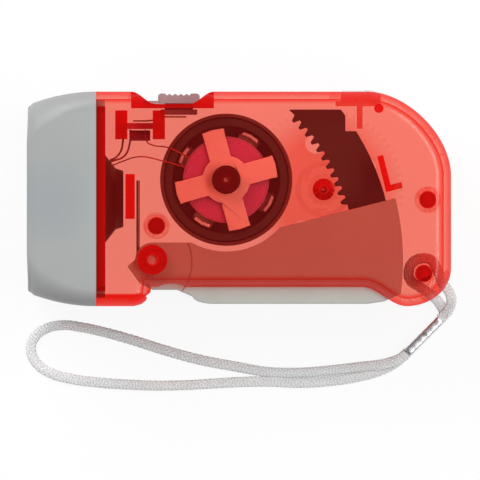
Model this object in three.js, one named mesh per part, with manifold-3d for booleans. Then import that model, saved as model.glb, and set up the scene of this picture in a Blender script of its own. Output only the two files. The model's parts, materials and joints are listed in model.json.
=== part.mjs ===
// A squeeze-lever dynamo flashlight, lying on its side as it is stored: a see-through casing in
// two halves, a grey lamp hood, a sprung lever with an internal gear sector, a two-stage gear train,
// a claw-pole generator with a ring-magnet flywheel, a slide switch, a lever lock and a wrist strap.
// Units are millimetres. +X runs from the lamp to the strap, +Y from the lever to the switch and
// +Z from the side that the flashlight lies on to the other side.

import * as THREE from "three";
import { mergeVertices } from "three/addons/utils/BufferGeometryUtils.js";
import Module from "manifold-3d";

const wasm = await Module();
wasm.setup();

// Clearances and cutter overrun
const gap = 0.3; // between pieces that sit together
const running = 0.15; // round a turning shaft, on the radius
const overrun = 2; // how far a cutter passes the face that it cuts

// Casing, seen from the side
const casing = {
  length: 87, // from the hood's joint to the rear face
  height: 52.6,
  depth: 36,
  wall: 1.8,
  edgeRadius: 4,
  topCorner: 20.6,
  topCornerHandleShare: 0.476, // flatter than a circle, whose share is 0.552
  rearCornerLength: 10.9,
  rearCornerHeight: 9.3,
  gripRise: 4.7, // the grip edge stands this far above the lowest edge
  rearSweep: 10.9, // length of the S bend behind the grip edge
  noseLength: 9.8, // the low stretch behind the hood
  noseLean: 3.4, // how far its rear face leans back
};

const recess = {
  fromJoint: 8.6, // where the thumb recess begins, behind the joint
  length: 20.3,
  slope: 6, // length of the S bend at each end
  depth: 3,
  floor: 1.1, // thickness of the plastic under the recess
};

const arch = { behindNose: 8.2, radius: 4.4, drop: 2.2 }; // a round cut-out behind the nose

// Lamp head
const hood = {
  length: 17,
  wall: 1.6,
  frontHeight: 45.8,
  frontDepth: 30.4,
  rearCorner: 4,
  frontCorner: 9,
  rimWave: 0.6, // how far the rim's edge dips between its two bulges
  collarLength: 2.2,
  collarWall: 1.3,
  lensSetback: 0.9,
};
const lens = { thickness: 1.6 };
const reflector = {
  flange: 1,
  wall: 1,
  rimRoom: 0.33, // from the bowl's rim to the hood's side
  neckRadius: 7.4,
  depth: 10.6,
};
const led = {
  count: 3,
  circle: 4,
  radius: 2.5,
  flangeRadius: 2.9,
  flange: 0.9,
  body: 4.6, // from the flange to the start of the dome
};
const ledBoard = { radius: 8, thickness: 1.4 };
const lampHolder = { flangeRadius: 11, flange: 2.2, radius: 6.9, length: 3.6 };

// Lever and its gear sector
const pivot = { fromJoint: 13.8, aboveGrip: 6.7, pinRadius: 1.5, bossRadius: 3.7 };
const lever = {
  rearBay: 11.8, // free length between the lever's end and the rear face
  sideRoom: 2.4, // from the casing's inner side to the lever's
  wall: 1.6,
  web: 2, // thickness of the face that the fingers press
  press: 4.1, // how far that face stands below the grip edge when squeezed in
  neck: 7.4, // depth of the narrow part below the pivot
  neckLength: 6,
  shoulder: 10, // where the finger face starts to curve out from the neck
  shoulderCurve: 5,
  hubRadius: 4.2,
  hubReach: 7.8, // length of the hub's level top edge
  hubTube: 2.6,
  tailReach: 6.1,
  tailDrop: 1.6,
  roundEnd: 8, // length of the finger face's curve up to the end
  roundRise: 2.4,
  topBelowDrive: 8.1, // degrees from the line to the idler's axle down to the lever's top edge
  travel: 22, // degrees from squeezed in to fully open
  rotorRoom: 1.4, // from the flywheel to the hollow in the lever's top edge
  shelf: 2, // thickness of the ledge that the sector is screwed to
  shelfFrom: -6, // degrees
  shelfBelowDrive: 9.7, // degrees
  slotFront: 7.8, // where the casing's slot for the lever begins, behind the joint
};
const sector = {
  module: 0.75,
  rim: 10.3, // from the pitch circle to the outer edge
  endSetback: 2.35, // the outer edge lies this far inside the lever's end
  thickness: 4.4,
  fromAngle: 3,
  spareAngle: 3.2, // degrees of teeth beyond the lever's travel
  topRoom: 2.6, // from the casing's top wall to the sector, squeezed in
  addendumShare: 0.7,
  screwRadius: 1,
  screwHead: 1.9,
  screwHeadHeight: 1.2,
  screwSlot: 0.6,
  catchRoom: 0.6, // below the lock's tab, where it enters the sector's edge
  screwsBelowShelfEnd: [7.1, 2.6], // degrees
};
const drivePinion = { teeth: 9, addendumShare: 0.9, overhang: 0.5 };
const tooth = { pressureAngle: 20, thinning: 0.12, rootClearance: 0.25 };

// Gear train and ratchet
const train = { module: 0.6, rotorTeeth: 16, addendumShare: 0.85 };
const idler = {
  thickness: 3,
  topRoom: 2.44, // from the casing's top wall to the gear
  leverRoom: 6.28, // from the lever's finger face to the gear
  hubRadius: 3,
  fromFloor: 6.4, // from the casing's inner side to the gear's face
  webHoleRadius: 2.6,
  webHoles: 5,
  webRoom: 7.7, // from the web holes' circle to the pitch circle
};
const ratchet = {
  teeth: 12,
  radius: 4.2,
  toothDepth: 0.7,
  thickness: 1.5,
  ringInner: 5.7,
  ringOuter: 6.9,
  fingers: 3,
  fingerWidth: 0.8,
  fingerLean: 1.3,
};
const axle = { radius: 1, seat: 0.9 }; // seat is how far it enters the casing's wall
const idlerBossRadius = 2.7;

// Generator
const rotor = { fromJoint: 31.9, belowTop: 21.6 };
const flywheel = {
  pinionRoom: 3.75, // from the drive pinion's tips to the flywheel
  headroom: 5.9, // from the flywheel's rim to the casing's inner side
  wall: 0.85,
  floor: 1.6,
  hubRadius: 2.4,
  hubRise: 0.9,
};
const magnet = { thickness: 1.85, belowRim: 0.7 };
const claw = {
  arms: 4,
  turn: 15.5, // degrees of the upper plate's first arm
  hubRadius: 5.9,
  width: 5.3,
  tipWidth: 4.2,
  airGap: 0.6,
  sheet: 0.8,
  tipRoom: 3.4, // from each claw's tip to the other plate
};
const bobbin = { tube: 0.8, clawRoom: 1.2, flange: 1, aboveRim: 0.2 };
const winding = { belowFlange: 1.3, wire: 0.25, pitch: 0.855, stepsPerTurn: 16, sides: 5 };
const rotorBoss = { upperRadius: 3.2, lowerRadius: 2.6 };

// Return spring
const spring = {
  coilRadius: 3.5,
  wire: 0.8,
  pitch: 1.3,
  turns: 3,
  legBelowRib: 1.6, // the upper leg ends this far below the rib's top
  stepsPerTurn: 8,
  sides: 5,
};

// Switch and lever lock
const knob = {
  fromJoint: 15.2,
  length: 10.2,
  width: 8,
  height: 2.1,
  ribs: 8,
  ribbedLength: 8.6,
  ribDepth: 0.45,
  foot: 3.6, // the flat foot's length in front of the knob
  footHeight: 0.7,
  stemLength: 7,
  stemWidth: 4,
  carrier: 1.3, // thickness of the plate inside the casing
  carrierLength: 9,
  carrierWidth: 9,
  travel: 3.5,
};
const contact = { thickness: 0.4, length: 6.6, width: 7.4 };
const board = { fromJoint: 5.9, length: 9.8, thickness: 1.5, width: 13, belowTop: 7.7 };
const post = { length: 3, height: 7.1, belowTop: 4.6, overlap: 1.2 };
const terminal = { thickness: 0.4, width: 2.4, foot: 3.4, slope: 2.4, spread: 3.2 };
const diode = { radius: 1.3, length: 5 };
const lock = {
  length: 9.7,
  width: 10,
  proud: 0.3,
  ribs: 6,
  ribbedLength: 4.8,
  ribDepth: 0.3,
  base: 1.2,
  baseSpare: 1.3,
  tabLength: 1.4,
  tabFromStart: 3.9,
  tabDrop: 5.5, // how far the tab hangs below the base
  tabClear: 0.45, // from the tab to the sector's edge
  tabWidth: 3.4,
  travel: 2.5,
};

// Ribs, bosses and screws inside the casing
const backRib = { fromJoint: 7.2, length: 2.3, width: 11, depth: 12, above: 0.6 };
const saddle = { fromJoint: 4.6, length: 1.4, halfWidth: 5.5 };
const stopRib = { wall: 1.5, aboveLever: 2, heelFromEnd: 1.8, tall: 9, foot: 4.2, depth: 12 };
const screwPost = { radius: 2.15, base: 3.2, baseHeight: 3.6 };
const frontPost = { fromJoint: 14.8, aboveGrip: 15 };
const rearPost = { fromRear: 5.7, aboveGrip: 21.4 };
const strapPost = { fromRear: 6.7, aboveBase: 8 };
const pipPost = { fromRear: 17.7, belowTop: 4.1, radius: 1.15, fromLock: 1.9 };
const caseScrew = {
  radius: 0.9,
  headRadius: 1.9,
  headHeight: 1.5,
  recess: 0.5,
  length: 21,
  slot: 0.6,
  slotShare: 0.62, // of the head's radius
};

// Wires inside, and the strap
const wire = { led: 0.5, coil: 0.3, sides: 6, steps: 9 };
const solder = {
  lampFront: { above: 9.55, beside: -3 },
  lampRear: { above: 9.15, beside: 1 },
  lampCoil: { above: 8.35, beside: 5 },
  boardFront: { along: 0.8, beside: -3.6 },
  boardRear: { along: 2.5, beside: -0.6 },
  boardCoil: { along: 6.2, beside: 5.6 },
  coilOuter: { ahead: 8.9, above: 5.25 },
  coilInner: { ahead: 9.9, above: 2.95 },
};
const cord = { diameter: 2.1, sides: 8, loopSteps: 54, tetherSteps: 24 };
const ferrule = { width: 2.4, height: 4.9, length: 10.7, fromRear: 10.4, below: 11.1, lean: 45 };
const strapSlot = { width: 9.6, height: 5.4, lift: 7 };

const degrees = Math.PI / 180;

// Places worked out from the sizes above
const jointX = (hood.length - casing.length) / 2;
const frontX = jointX - hood.length;
const rearX = jointX + casing.length;
const topY = (casing.height - lock.proud) / 2; // the middle of the height is at the origin
const baseY = topY - casing.height;
const axisY = topY - casing.height / 2; // the lamp's axis
const gripY = baseY + casing.gripRise;
const midZ = casing.depth / 2;
const floorZ = casing.wall;
const roofZ = casing.depth - casing.wall;

const pivotX = jointX + pivot.fromJoint;
const pivotY = gripY + pivot.aboveGrip;
const leverEnd = casing.length - pivot.fromJoint - lever.rearBay;
const leverLowZ = floorZ + lever.sideRoom;
const leverHighZ = roofZ - lever.sideRoom;
const sectorOuter = leverEnd - sector.endSetback;
const sectorTeeth = Math.round((2 * (sectorOuter - sector.rim)) / sector.module);
const sectorPitch = (sector.module * sectorTeeth) / 2;

// The idler lies in mid height, in mesh with the sector, and is as large as the height allows
const driveDistance = (sector.module * (sectorTeeth - drivePinion.teeth)) / 2;
const idlerHighY = topY - casing.wall - idler.topRoom;
const idlerLowY = gripY - lever.press + lever.web + idler.leverRoom;
const idlerY = (idlerHighY + idlerLowY) / 2;
const idlerX = pivotX + Math.sqrt(driveDistance ** 2 - (idlerY - pivotY) ** 2);
const trainAddendum = train.addendumShare * train.module;
const idlerPitchRoom = (idlerHighY - idlerLowY) / 2 - trainAddendum;
const teethForHeight = Math.floor((2 * idlerPitchRoom) / train.module);

// It also leaves room for the rotor behind the switch and the front screw
const rotorFrontX = jointX + rotor.fromJoint;
const rotorY = topY - rotor.belowTop;
const longestTrain = Math.hypot(idlerX - rotorFrontX, rotorY - idlerY);
const teethForLength = Math.round((2 * longestTrain) / train.module) - train.rotorTeeth;
const idlerTeeth = Math.min(teethForHeight, teethForLength);
const trainDistance = (train.module * (idlerTeeth + train.rotorTeeth)) / 2;
const rotorX = idlerX - Math.sqrt(trainDistance ** 2 - (rotorY - idlerY) ** 2);
const driveAngle = Math.atan2(idlerY - pivotY, idlerX - pivotX);
const trainAngle = Math.atan2(rotorY - idlerY, rotorX - idlerX);
const leverTopAngle = driveAngle - lever.topBelowDrive * degrees;
const shelfEndAngle = driveAngle - lever.shelfBelowDrive * degrees;

// The lock's tab hangs down to where the sector's edge passes
const lockBaseTopY = topY - casing.wall - gap - gap;
const lockTabEndY = lockBaseTopY - lock.base - lock.tabDrop;
const lockTabReach = Math.sqrt((sectorOuter + lock.tabClear) ** 2 - (lockTabEndY - pivotY) ** 2);
const lockX = pivotX + lockTabReach - lock.tabFromStart;

// Levels across the thickness, from the side that it lies on
const idlerZ = floorZ + idler.fromFloor;
const idlerTopZ = idlerZ + idler.thickness;
const ratchetZ = idlerTopZ + gap + gap;
const pinionZ = ratchetZ + ratchet.thickness;
const sectorZ = pinionZ + drivePinion.overhang;
const sectorTopZ = sectorZ + sector.thickness;
const shelfTopZ = sectorZ - gap;
const shelfZ = shelfTopZ - lever.shelf;
const pinionTopZ = sectorTopZ + drivePinion.overhang;
const flywheelZ = idlerTopZ + idler.thickness / 2;
const flywheelTopZ = roofZ - flywheel.headroom;
const lowerClawZ = flywheelZ + flywheel.floor + flywheel.hubRise + claw.sheet;
const bobbinZ = lowerClawZ + claw.sheet + gap;
const bobbinTopZ = flywheelTopZ + bobbin.aboveRim;
const upperClawZ = bobbinTopZ + gap;
const upperClawTopZ = upperClawZ + claw.sheet;

// The generator's rings lie one inside the other
const pinionTip = sector.module * (drivePinion.teeth / 2 + drivePinion.addendumShare);
const flywheelRadius = trainDistance - pinionTip - flywheel.pinionRoom;
const magnetOuter = flywheelRadius - flywheel.wall - gap;
const magnetInner = magnetOuter - magnet.thickness;
const clawRadius = magnetInner - claw.airGap;
const bobbinFlangeRadius = clawRadius - claw.sheet - bobbin.clawRoom;
const windingRadius = bobbinFlangeRadius - winding.belowFlange;

// The lamp's parts follow each other from the front to the back
const lensX = frontX + hood.lensSetback + gap;
const reflectorX = lensX + lens.thickness + gap;
const reflectorBack = reflectorX + reflector.flange + reflector.depth;
const ledBoardX = reflectorBack + gap + led.flange + gap;
const holderX = ledBoardX + ledBoard.thickness + gap;
const holderBackX = holderX + lampHolder.flange;
const boreRadius = rotorBoss.upperRadius + gap; // of the coil's bobbin and the claw plates

// The switch's moving plate hangs under the recess's floor, with the contact below it
const carrierTopY = topY - recess.depth - recess.floor - gap;
const contactY = carrierTopY - knob.carrier - gap - contact.thickness;

const segments = {
  small: 12,
  round: 20,
  plate: 24,
  large: 36,
  bowl: 24,
  bend: 6,
  corner: 9,
  edge: 3,
  sectorEdge: 14,
};
const hoodRingShares = [0.12, 0.3, 0.5, 0.75, 1]; // of the hood's length
const bowlShares = [0, 0.25, 0.55, 0.85]; // of the reflector's depth

// Finishes
const finish = (color, roughness, metalness = 0, opacity = 1) =>
  new THREE.MeshStandardMaterial({ color, roughness, metalness, opacity, transparent: opacity < 1 });
const materials = {
  casing: finish(0xf01c14, 0.18, 0, 0.55),
  greyPlastic: finish(0xb4b8b7, 0.42),
  hood: finish(0xa6abac, 0.35, 0, 0.9),
  clear: finish(0xe8eef0, 0.05, 0, 0.35),
  mirror: finish(0xd8dadc, 0.08, 1),
  blackPlastic: finish(0x1c1a1b, 0.5),
  nylon: finish(0xe6dfd2, 0.45),
  steel: finish(0xb9bcc0, 0.3, 1),
  claws: finish(0xcfc4b4, 0.35, 1),
  magnet: finish(0x2a2528, 0.6),
  copper: finish(0xb4552d, 0.35, 1),
  brass: finish(0xc9a14a, 0.3, 1),
  board: finish(0x2d6a3c, 0.55),
  diode: finish(0x2b2350, 0.4),
  whiteWire: finish(0xd9d4cf, 0.5),
  cord: finish(0xc4c7c9, 0.85),
};

// Geometry helpers

function solidOf(geometry) {
  const bare = new THREE.BufferGeometry();
  const source = geometry.index ? geometry.toNonIndexed() : geometry;
  bare.setAttribute("position", source.getAttribute("position"));
  const merged = mergeVertices(bare, 1e-4);
  const index = merged.index.array;
  const kept = [];
  for (let i = 0; i < index.length; i += 3) {
    const [a, b, c] = [index[i], index[i + 1], index[i + 2]];
    if (a !== b && b !== c && c !== a) kept.push(a, b, c);
  }
  return new wasm.Manifold(
    new wasm.Mesh({
      numProp: 3,
      vertProperties: merged.getAttribute("position").array,
      triVerts: new Uint32Array(kept),
    }),
  );
}

function geometryOf(solid) {
  const mesh = solid.getMesh();
  const geometry = new THREE.BufferGeometry();
  const positions = new Float32Array(mesh.vertProperties);
  geometry.setAttribute("position", new THREE.BufferAttribute(positions, 3));
  geometry.setIndex(new THREE.BufferAttribute(new Uint32Array(mesh.triVerts), 1));
  geometry.computeVertexNormals();
  return geometry;
}

function joined(...solids) {
  return solids.reduce((sum, next) => sum.add(next));
}

function cut(solid, ...tools) {
  return tools.reduce((rest, tool) => rest.subtract(tool), solid);
}

function shapeOf(points, holes = []) {
  const shape = new THREE.Shape(points.map(([x, y]) => new THREE.Vector2(x, y)));
  for (const hole of holes) {
    shape.holes.push(new THREE.Path(hole.map(([x, y]) => new THREE.Vector2(x, y))));
  }
  return shape;
}

// A plan outline raised from one level to another
function prism(points, low, high, holes = []) {
  const geometry = new THREE.ExtrudeGeometry(shapeOf(points, holes), {
    depth: high - low,
    bevelEnabled: false,
  });
  geometry.translate(0, 0, low);
  return solidOf(geometry);
}

function block(x0, x1, y0, y1, z0, z1) {
  const geometry = new THREE.BoxGeometry(x1 - x0, y1 - y0, z1 - z0);
  geometry.translate((x0 + x1) / 2, (y0 + y1) / 2, (z0 + z1) / 2);
  return solidOf(geometry);
}

function arc(cx, cy, radius, from, to, count) {
  return Array.from({ length: count + 1 }, (_, i) => {
    const angle = from + ((to - from) * i) / count;
    return [cx + radius * Math.cos(angle), cy + radius * Math.sin(angle)];
  });
}

function circle(cx, cy, radius, count) {
  return arc(cx, cy, radius, 0, 2 * Math.PI, count).slice(0, count);
}

function rod(cx, cy, radius, low, high, count = segments.round) {
  return prism(circle(cx, cy, radius, count), low, high);
}

function tube(cx, cy, outer, inner, low, high, count = segments.round) {
  return prism(circle(cx, cy, outer, count), low, high, [circle(cx, cy, inner, count)]);
}

// A turned piece about a line along X, from a profile of [x, radius]
function turnedX(profile, y, z, count = segments.round) {
  const geometry = new THREE.LatheGeometry(
    profile.map(([x, r]) => new THREE.Vector2(r, x)),
    count,
  );
  geometry.rotateZ(-Math.PI / 2);
  geometry.translate(0, y, z);
  return outward(solidOf(geometry));
}

// A turned piece about a line along Z, from a profile of [radius, z]
function turnedZ(profile, x, y, count = segments.round) {
  const geometry = new THREE.LatheGeometry(
    profile.map(([r, z]) => new THREE.Vector2(r, z)),
    count,
  );
  geometry.rotateX(Math.PI / 2);
  geometry.translate(x, y, 0);
  return outward(solidOf(geometry));
}

// The same solid with its faces pointing out
function outward(solid) {
  if (solid.volume() >= 0) return solid;
  const mesh = solid.getMesh();
  const turned = new Uint32Array(mesh.triVerts);
  for (let i = 0; i < turned.length; i += 3) {
    [turned[i + 1], turned[i + 2]] = [turned[i + 2], turned[i + 1]];
  }
  return new wasm.Manifold(
    new wasm.Mesh({ numProp: 3, vertProperties: mesh.vertProperties, triVerts: turned }),
  );
}

// A skin over rings of equal count: capped at both ends, or closed on itself
function loft(rings, closed = false) {
  const count = rings[0].length;
  const positions = rings.flat().flatMap((p) => [p.x, p.y, p.z]);
  const faces = [];
  const last = closed ? rings.length : rings.length - 1;
  for (let r = 0; r < last; r += 1) {
    const here = r * count;
    const next = ((r + 1) % rings.length) * count;
    for (let i = 0; i < count; i += 1) {
      const j = (i + 1) % count;
      faces.push(here + i, here + j, next + j, here + i, next + j, next + i);
    }
  }
  if (!closed) {
    for (const [ring, start, turned] of [
      [rings[0], 0, true],
      [rings[rings.length - 1], (rings.length - 1) * count, false],
    ]) {
      for (const [a, b, c] of capOf(ring)) {
        faces.push(start + a, start + (turned ? c : b), start + (turned ? b : c));
      }
    }
  }
  const geometry = new THREE.BufferGeometry();
  geometry.setAttribute("position", new THREE.Float32BufferAttribute(positions, 3));
  geometry.setIndex(faces);
  return outward(solidOf(geometry));
}

// Triangles over a flat ring, in the ring's own direction
function capOf(ring) {
  const flatInX = Math.abs(ring[0].x - ring[1].x) + Math.abs(ring[1].x - ring[2].x) < 1e-6;
  const flat = ring.map((p) => (flatInX ? new THREE.Vector2(p.y, p.z) : new THREE.Vector2(p.x, p.y)));
  const reversed = THREE.ShapeUtils.isClockWise(flat);
  const outline = reversed ? flat.slice().reverse() : flat;
  const triangles = THREE.ShapeUtils.triangulateShape(outline, []);
  const back = (i) => ring.length - 1 - i;
  return reversed ? triangles.map(([a, b, c]) => [back(a), back(c), back(b)]) : triangles;
}

// A round tube along points, whose ends are flat
function cordAlong(points, radius, sides, steps, tension = 0.5) {
  const curve = new THREE.CatmullRomCurve3(
    points.map(([x, y, z]) => new THREE.Vector3(x, y, z)),
    false,
    "catmullrom",
    tension,
  );
  const section = new THREE.Shape(
    circle(0, 0, radius, sides).map(([x, y]) => new THREE.Vector2(x, y)),
  );
  return outward(
    solidOf(new THREE.ExtrudeGeometry(section, { steps, bevelEnabled: false, extrudePath: curve })),
  );
}

// Casing

// Half a cosine wave from one level to another, as an S bend
function sBend(x0, y0, x1, y1, count) {
  return Array.from({ length: count + 1 }, (_, i) => {
    const share = i / count;
    return [x0 + (x1 - x0) * share, y0 + ((y1 - y0) * (1 - Math.cos(Math.PI * share))) / 2];
  });
}

// The side view's outline, clockwise from the front top; it runs past the hood's joint
function casingOutline() {
  const corner = new THREE.CubicBezierCurve(
    new THREE.Vector2(rearX - casing.topCorner, topY),
    new THREE.Vector2(rearX - casing.topCorner * (1 - casing.topCornerHandleShare), topY),
    new THREE.Vector2(rearX, topY - casing.topCorner * (1 - casing.topCornerHandleShare)),
    new THREE.Vector2(rearX, topY - casing.topCorner),
  );
  const rearCorner = arc(0, 0, 1, 0, -Math.PI / 2, segments.bend).map(([x, y]) => [
    rearX - casing.rearCornerLength * (1 - x),
    baseY + casing.rearCornerHeight * (1 + y),
  ]);
  const bulgeX = rearX - casing.rearCornerLength;
  const noseX = jointX + casing.noseLength;
  return [
    [jointX - casing.edgeRadius - overrun, topY],
    ...corner.getPoints(segments.corner).map((p) => [p.x, p.y]),
    ...rearCorner,
    ...sBend(bulgeX, baseY, bulgeX - casing.rearSweep, gripY, segments.bend).slice(1),
    [noseX + casing.noseLean, gripY],
    [noseX, baseY],
    [jointX - casing.edgeRadius - overrun, baseY],
  ];
}

// The outline moved inwards, each point along its own normal
function inset(points, distance) {
  const count = points.length;
  return points.map(([x, y], i) => {
    const before = points[(i + count - 1) % count];
    const after = points[(i + 1) % count];
    const a = new THREE.Vector2(x - before[0], y - before[1]).normalize();
    const b = new THREE.Vector2(after[0] - x, after[1] - y).normalize();
    const normal = new THREE.Vector2(a.y + b.y, -a.x - b.x).normalize();
    const along = normal.x * a.y - normal.y * a.x;
    return [x + (normal.x * distance) / along, y + (normal.y * distance) / along];
  });
}

// One half of a hollow form: straight sides, then a rounded edge up to the flat side
function domedBlank(margin, radius, from, side, up) {
  const outline = casingOutline();
  const rings = [inset(outline, margin).map(([x, y]) => new THREE.Vector3(x, y, from))];
  for (let i = 0; i <= segments.edge; i += 1) {
    const angle = (Math.PI / 2) * (i / segments.edge);
    const level = side - up * radius * (1 - Math.sin(angle));
    const ring = inset(outline, margin + radius * (1 - Math.cos(angle)));
    rings.push(ring.map(([x, y]) => new THREE.Vector3(x, y, level)));
  }
  return loft(rings);
}

// The thumb recess, cut right across the casing
function recessCut() {
  const from = jointX + recess.fromJoint;
  const to = from + recess.length;
  const floorY = topY - recess.depth;
  const outline = [
    ...sBend(from, topY, from + recess.slope, floorY, segments.bend),
    ...sBend(to - recess.slope, floorY, to, topY, segments.bend),
    [to, topY + overrun],
    [from, topY + overrun],
  ];
  return prism(outline, -overrun, casing.depth + overrun);
}

// What the lever passes through
function leverSlot() {
  const from = jointX + lever.slotFront;
  const reach = leverEnd + gap + gap;
  const lowY = baseY - overrun;
  const highY = gripY + casing.wall;
  const endLow = pivotX + Math.sqrt(reach ** 2 - (lowY - pivotY) ** 2);
  const endHigh = pivotX + Math.sqrt(reach ** 2 - (highY - pivotY) ** 2);
  const outline = [
    [from, lowY],
    [endLow, lowY],
    [endHigh, highY],
    [from, highY],
  ];
  return prism(outline, leverLowZ - gap, leverHighZ + gap);
}

function archCut() {
  const x = jointX + casing.noseLength + arch.behindNose;
  return rod(x, gripY - arch.drop, arch.radius, -overrun, casing.depth + overrun);
}

// The slider's channel in the recess, and the slot through its floor
function switchCuts() {
  const knobX = jointX + knob.fromJoint;
  const floorY = topY - recess.depth;
  const halfWidth = knob.width / 2 + gap;
  const halfStem = knob.stemWidth / 2 + gap;
  const stemX = knobX + gap;
  return [
    block(
      knobX - knob.foot - knob.travel - gap,
      knobX + knob.length + gap,
      floorY,
      topY + overrun,
      midZ - halfWidth,
      midZ + halfWidth,
    ),
    block(
      stemX - knob.travel - gap,
      stemX + knob.stemLength + gap,
      floorY - recess.floor - overrun,
      topY,
      midZ - halfStem,
      midZ + halfStem,
    ),
  ];
}

// The window that the lock slides in, and the room for its base under the wall
function lockCuts() {
  const halfWidth = lock.width / 2 + gap;
  return [
    block(
      lockX - lock.travel - gap,
      lockX + lock.length + gap,
      topY - casing.wall - overrun,
      topY + overrun,
      midZ - halfWidth,
      midZ + halfWidth,
    ),
    block(
      lockX - lock.baseSpare - lock.travel - gap,
      lockX + lock.length + gap,
      lockBaseTopY - lock.base - gap,
      lockBaseTopY + gap,
      midZ - halfWidth - lock.baseSpare,
      midZ + halfWidth + lock.baseSpare,
    ),
  ];
}

// The opening in the rear corner that the strap comes out of
function strapSlotCut() {
  const post = strapPostPlace();
  const along = casing.rearCornerLength + casing.wall;
  const geometry = new THREE.BoxGeometry(along, strapSlot.width, strapSlot.height);
  geometry.translate(along / 2 + screwPost.radius + cord.diameter / 2, 0, 0);
  geometry.rotateZ(-Math.PI / 4);
  geometry.translate(post.x, post.y, strapSlot.lift);
  return solidOf(geometry);
}

function strapPostPlace() {
  return { x: rearX - strapPost.fromRear, y: baseY + strapPost.aboveBase };
}

function screwPlaces() {
  return [
    { name: "case_screw_front", x: jointX + frontPost.fromJoint, y: gripY + frontPost.aboveGrip },
    { name: "case_screw_rear", x: rearX - rearPost.fromRear, y: gripY + rearPost.aboveGrip },
    { name: "case_screw_strap", ...strapPostPlace() },
  ];
}

// The switch board's posts, a pair in each half, with a slot for the board's edge
function boardPosts(low, high) {
  const top = topY - post.belowTop;
  const from = jointX + board.fromJoint - post.overlap;
  const to = jointX + board.fromJoint + board.length + post.overlap;
  return [from, to - post.length].map((x) =>
    block(x, x + post.length, top - post.height, top, low, high),
  );
}

function boardSpace() {
  const x = jointX + board.fromJoint;
  const high = topY - board.belowTop;
  return block(
    x - gap,
    x + board.length + gap,
    high - board.thickness - gap,
    high + gap,
    midZ - board.width / 2 - gap,
    midZ + board.width / 2 + gap,
  );
}

// A rib in plan like an angle bracket, above the lever's top corner, that stops it inwards
function stopRibSolid() {
  const along = leverEnd - stopRib.heelFromEnd;
  const outline = [
    [0, 0],
    [stopRib.foot, 0],
    [stopRib.foot, stopRib.wall],
    [stopRib.wall, stopRib.wall],
    [stopRib.wall, stopRib.tall],
    [0, stopRib.tall],
  ].map(([x, y]) => turnedPoint(along + x, stopRib.aboveLever + y, leverTopAngle));
  return prism(outline, roofZ - stopRib.depth, roofZ + gap);
}

// A point given along and across a line from the lever's pivot, turned by an angle
function turnedPoint(x, y, turn) {
  return [
    pivotX + x * Math.cos(turn) - y * Math.sin(turn),
    pivotY + x * Math.sin(turn) + y * Math.cos(turn),
  ];
}

// The cuts that run through both halves
function sharedCuts() {
  return [recessCut(), ...switchCuts(), ...lockCuts(), leverSlot(), archCut(), boardSpace()];
}

function upperShell() {
  const outer = domedBlank(0, casing.edgeRadius, midZ, casing.depth, 1);
  const hollow = domedBlank(
    casing.wall,
    casing.edgeRadius - casing.wall,
    midZ - overrun,
    roofZ,
    1,
  );
  const tub = block(
    jointX + recess.fromJoint,
    jointX + recess.fromJoint + recess.length,
    topY - recess.depth - recess.floor,
    topY,
    midZ,
    roofZ + gap,
  );
  const bosses = [
    rod(pivotX, pivotY, pivot.bossRadius, leverHighZ + gap, roofZ + gap),
    rod(rotorX, rotorY, rotorBoss.upperRadius, bobbinZ, roofZ + gap),
    rod(idlerX, idlerY, idlerBossRadius, pinionTopZ + gap, roofZ + gap),
    rod(
      rearX - pipPost.fromRear,
      topY - pipPost.belowTop,
      pipPost.radius,
      midZ + lock.width / 2 + lock.baseSpare + pipPost.fromLock,
      roofZ + gap,
      segments.small,
    ),
    ...screwPlaces().map(({ x, y }) => rod(x, y, screwPost.radius, midZ, roofZ + gap)),
  ];
  const ribs = [
    backRibSolid(),
    stopRibSolid(),
    saddleSolid(midZ, roofZ + gap),
    ...boardPosts(midZ + knob.carrierWidth / 2 + gap, roofZ + gap),
  ];
  const keep = block(
    jointX,
    rearX + overrun,
    baseY - overrun,
    topY + overrun,
    midZ,
    casing.depth + overrun,
  );
  const inside = joined(outer.subtract(hollow), outer.intersect(joined(tub, ...bosses, ...ribs)));
  const boreTop = roofZ + axle.seat;
  return cut(
    inside,
    ...sharedCuts(),
    rod(pivotX, pivotY, pivot.pinRadius + running, midZ, boreTop),
    rod(rotorX, rotorY, axle.radius + running, midZ, boreTop, segments.small),
    rod(idlerX, idlerY, axle.radius + running, midZ, boreTop, segments.small),
    ...screwPlaces().map(({ x, y }) =>
      rod(x, y, caseScrew.radius + running, midZ - overrun, caseScrew.length + overrun, segments.small),
    ),
  ).intersect(keep);
}

function backRibSolid() {
  const x = jointX + backRib.fromJoint;
  return block(
    x,
    x + backRib.length,
    axisY + backRib.above - backRib.width / 2,
    axisY + backRib.above + backRib.width / 2,
    roofZ - backRib.depth,
    roofZ + gap,
  );
}

function saddleSolid(low, high) {
  const x = jointX + saddle.fromJoint;
  const y = saddle.halfWidth;
  const rib = block(x, x + saddle.length, axisY - y, axisY + y, low, high);
  const hole = turnedX(
    [
      [x - overrun, 0],
      [x - overrun, lampHolder.radius + gap],
      [x + saddle.length + overrun, lampHolder.radius + gap],
      [x + saddle.length + overrun, 0],
    ],
    axisY,
    midZ,
  );
  return rib.subtract(hole);
}

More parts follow.
